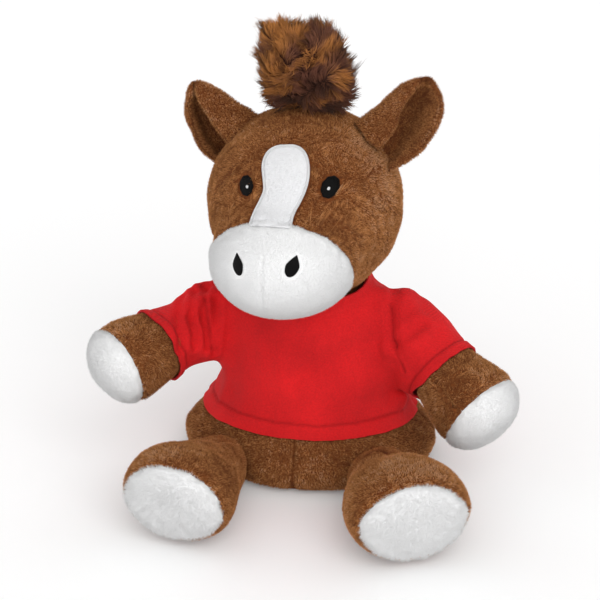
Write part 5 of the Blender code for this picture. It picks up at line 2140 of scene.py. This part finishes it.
        # The seams' lines, which the jersey darkens as painted shade in their grooves.
        seam_shade_layer = surface.mesh.attributes.new("seam", "FLOAT", "POINT")
        seam_shade_layer.data.foreach_set("value", seams.astype(np.float32))
        return surface

    def hug(self, surface: Surface) -> None:
        """Lay the collar's edge against the head, and the sleeves' ends against the arms."""
        points = surface.points()
        rise = self.over_collar(points)
        share = eased(np.clip(1 + rise / self.hug_reach, 0, 1))
        radius = np.hypot(points[:, 0] - self.neck_across, points[:, 1])
        share *= np.clip((self.hug_radius - radius) / (6 * MM), 0, 1)
        tree = self.head.tree()
        for index in np.nonzero(share > 0)[0]:
            near, normal, _, _ = tree.find_nearest(Vector(points[index]))
            target = near + normal * self.clearance
            target.z = min(target.z, points[index][2] + self.hug_rise)
            points[index] += share[index] * (np.array(target) - points[index])
        for side in Side:
            along, away = self.along(points, side)
            reached = np.clip((along - self.hug_start) / self.hug_length, 0, 1)
            share = eased(reached * (away < 26 * MM))
            tree = self.limbs[side].tree()
            for index in np.nonzero(share > 0)[0]:
                near, normal, _, _ = tree.find_nearest(Vector(points[index]))
                aim = np.array(near + normal * self.sleeve_gap)
                points[index] += share[index] * (aim - points[index])
        surface.put(points)
        surface.smooth(2)
        surface.smooth(8, 0.5 * np.clip(1 + rise / (2 * self.hug_reach), 0, 1))

    def keep_clear(self, surface: Surface) -> None:
        """Push the cloth out wherever it lies too close on the torso or an arm."""
        points = surface.points()
        for body, gap in ((self.torso, self.torso_gap),
                          *((limb, self.sleeve_gap) for limb in self.limbs.values())):
            tree = body.tree()
            low, high = body.points().min(axis=0) - gap, body.points().max(axis=0) + gap
            close = ((points > low) & (points < high)).all(axis=1)
            close &= points[:, 2] > self.hem_rise - 8 * MM
            for index in np.nonzero(close)[0]:
                near, normal, _, _ = tree.find_nearest(Vector(points[index]))
                if (Vector(points[index]) - near).dot(normal) < gap:
                    points[index] = np.array(near + normal * gap)
        surface.put(points)
        surface.smooth(2, 0.3)

    def flank(self, points: Rows) -> Rows:
        """Return how far places lie to the shirt's sides at its hem, 0 to 1."""
        low = np.clip(1 - (points[:, 2] - self.hem_rise) / (16 * MM), 0, 1)
        return np.clip(np.abs(points[:, 0]) / self.half_width, 0, 1) ** 3 * low

    def lower_sides(self, surface: Surface) -> None:
        """Let the hem hang lower at both sides."""
        points = surface.points()
        points[:, 2] -= self.side_drop * self.flank(points)
        surface.put(points)

    def take_in(self, surface: Surface) -> None:
        """Draw the shirt in at its waist and let the hem's corners stand out."""
        points = surface.points()
        level = points[:, 2] - self.hem_rise
        body = 1 - np.clip((np.abs(points[:, 0]) - self.half_width) / (3 * MM), 0, 1)
        low = np.clip(1.6 - level / (20 * MM), 0, 1) * body
        side = np.clip(np.abs(points[:, 0]) / self.half_width, 0, 1) ** 3
        points[:, 0] *= 1 - WAIST * low
        points[:, 0] -= np.sign(points[:, 0]) * 2.8 * MM * valley(level - 12 * MM, 7 * MM) * side * body
        surface.put(points)

    def drape(self, surface: Surface) -> None:
        """Let the shirt fall on the body and the arms with a cloth simulation."""
        rest = surface.points()
        held = np.clip(1 + self.over_collar(rest) / (2.5 * MM), 0, 1)
        bodies = []
        for covered in (self.torso, *self.limbs.values(), *self.legs.values()):
            solid = Surface.fused((), self.body_voxel, [covered.mesh])
            solid.put(solid.points() * SIM_SCALE)
            carrier = link("under_shirt", solid.mesh)
            carrier.modifiers.new("solid", "COLLISION")
            carrier.collision.thickness_outer = self.thickness
            carrier.collision.cloth_friction = self.friction
            bodies.append(carrier)
        axis = self.arms[Side.RIGHT]
        along, _ = self.along(rest, Side.LEFT)
        loose = np.clip((along + 8 * MM) / (8 * MM), 0, 1) * (rest[:, 0] > 0)
        along, _ = self.along(rest, Side.RIGHT)
        middle = np.array(axis.translation) + np.outer(along, np.array(axis.col[2][:3]))
        below = np.clip((middle[:, 2] - rest[:, 2]) / (5 * MM), 0, 1)
        loose = np.maximum(loose, np.clip((along + 4 * MM) / (8 * MM), 0, 1) * below * (rest[:, 0] < 0))
        settings = {
            "quality": 6, "mass": 0.25, "tension_stiffness": self.stiffness,
            "compression_stiffness": self.stiffness, "bending_stiffness": 0.6, "shrink_min": -self.grow,
        }
        contact = {"distance_min": 0.003, "collision_quality": 3}
        surface.simulate(held, self.frames, self.cap + (self.loose_cap - self.cap) * loose, settings, contact)
        for body in bodies:
            bpy.data.objects.remove(body)
        surface.smooth(2, 0.4)

    def is_sleeve(self, points: Rows, side: Side) -> Rows:
        """Return True at places that belong to a sleeve."""
        along, away = self.along(points, side)
        level = (points[:, 2] - self.hem_rise) / self.height
        across, high = zip(*reversed(self.shares))
        wide = self.half_width * np.interp(level, high, across)
        out = np.hypot(points[:, 0], points[:, 1] / self.depth_share) - wide
        beyond = (out > 1.0 * MM) & (along > 1.0 * MM)
        return beyond & (away < 24 * MM) & (points[:, 0] * side.value > 0)

    def build(self) -> None:
        """Make the T-shirt's pieces."""
        surface = self.shape()
        thing = link("shirt", surface.mesh)
        solid = thing.modifiers.new("cloth", "SOLIDIFY")
        solid.thickness = self.cloth
        solid.offset = -1.0
        whole = applied(thing)
        middles = np.array([polygon.center for polygon in whole.polygons])
        collar = self.over_collar(middles) > 0
        owner = np.zeros(len(middles), int)
        for side in Side:
            owner[self.is_sleeve(middles, side)] = side.value
        owner[collar] = 2
        made: dict[int, bpy.types.Object] = {}
        names = {0: "shirt_front_back", 1: "shirt_sleeve_left", -1: "shirt_sleeve_right", 2: "shirt_neckband"}
        for value, name in names.items():
            bm = bmesh.new()
            bm.from_mesh(whole)
            bm.faces.ensure_lookup_table()
            gone = [bm.faces[int(index)] for index in np.nonzero(owner != value)[0]]
            bmesh.ops.delete(bm, geom=gone, context="FACES")
            if value == 2:
                for vert in bm.verts:
                    rise = (vert.co - self.collar_at).dot(self.collar_normal) / self.collar_band
                    bulge = math.sin(math.pi * max(0.0, min(1.0, rise))) ** 0.5
                    vert.co += Vector((vert.co.x, vert.co.y, 0)).normalized() * 0.45 * MM * bulge
            made[value] = thing = link(name, meshed(bm, name), JerseyFinish().material())
            if value in (1, -1):
                side = Side(value)
                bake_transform(thing)
                finish(thing, "jersey", "sleeve_" + side.word)
            else:
                dress(thing, "body", "jersey", "shirt_collar" if value == 2 else "shirt_body")


# Studio


@dataclass
class Studio:
    """The white floor, the soft lights and the white surroundings.

    Each lamp has its name, its power, its width in degrees and the direction of its light.
    """

    sky: float = 0.72
    floor_glow: float = 0.09
    floor_tone: float = 0.94
    floor_size: float = 3.0
    lamps: tuple[tuple[str, float, float, Colour], ...] = (
        ("soft_key", 1.4, 55.0, (-0.42, 0.90, -0.65)), ("soft_fill", 0.7, 60.0, (0.40, 1.0, -0.08)))

    def build(self) -> None:
        """Make the floor, the lights and the world."""
        bm = bmesh.new()
        bmesh.ops.create_grid(bm, x_segments=1, y_segments=1, size=self.floor_size)
        graph = Graph("floor", 1.0)
        graph.shader.inputs["Base Color"].default_value = (*[self.floor_tone] * 3, 1.0)
        graph.shader.inputs["Specular IOR Level"].default_value = 0.0
        graph.shader.inputs["Emission Color"].default_value = (1.0, 1.0, 1.0, 1.0)
        path = graph.node("LightPath")
        seen = graph.math("MAXIMUM", path.outputs["Is Camera Ray"], path.outputs["Is Glossy Ray"])
        graph.tree.links.new(graph.math("MULTIPLY", seen, self.floor_glow),
                             graph.shader.inputs["Emission Strength"])
        link("floor", meshed(bm, "floor"), graph.material)

        world = bpy.data.worlds.new("studio")
        bpy.context.scene.world = world
        world.use_nodes = True
        nodes, links = world.node_tree.nodes, world.node_tree.links
        background = nodes["Background"]
        background.inputs["Color"].default_value = (1.0, 1.0, 1.0, 1.0)
        path = nodes.new("ShaderNodeLightPath")
        both = nodes.new("ShaderNodeMath")
        both.operation = "MAXIMUM"
        links.new(path.outputs["Is Camera Ray"], both.inputs[0])
        links.new(path.outputs["Is Glossy Ray"], both.inputs[1])
        level = nodes.new("ShaderNodeMapRange")
        level.inputs["To Min"].default_value = self.sky
        level.inputs["To Max"].default_value = 1.0
        links.new(both.outputs[0], level.inputs["Value"])
        links.new(level.outputs["Result"], background.inputs["Strength"])

        for name, power, spread, aim in self.lamps:
            lamp = bpy.data.lights.new(name, "SUN")
            lamp.energy = power
            lamp.angle = math.radians(spread)
            made = bpy.data.objects.new(name, lamp)
            made.rotation_mode = "QUATERNION"
            made.rotation_quaternion = Vector(aim).to_track_quat("-Z", "Y")
            bpy.context.scene.collection.objects.link(made)


def main() -> None:
    """Build the horse and the studio in order."""
    logging.basicConfig(level=logging.INFO, format="%(name)s %(message)s")
    bpy.context.scene.view_settings.view_transform = "Standard"
    VIEW.build()
    Studio().build()
    head = Head()
    skull = head.build()
    for side in Side:
        Ear(side, head).build()
    LongFur(head).build()
    torso = Torso().build()
    arms = {side: arm(side).build() for side in Side}
    legs = {side: leg(side).build() for side in Side}
    Shirt(skull, torso, arms, legs).build()


if __name__ == "__main__":
    main()
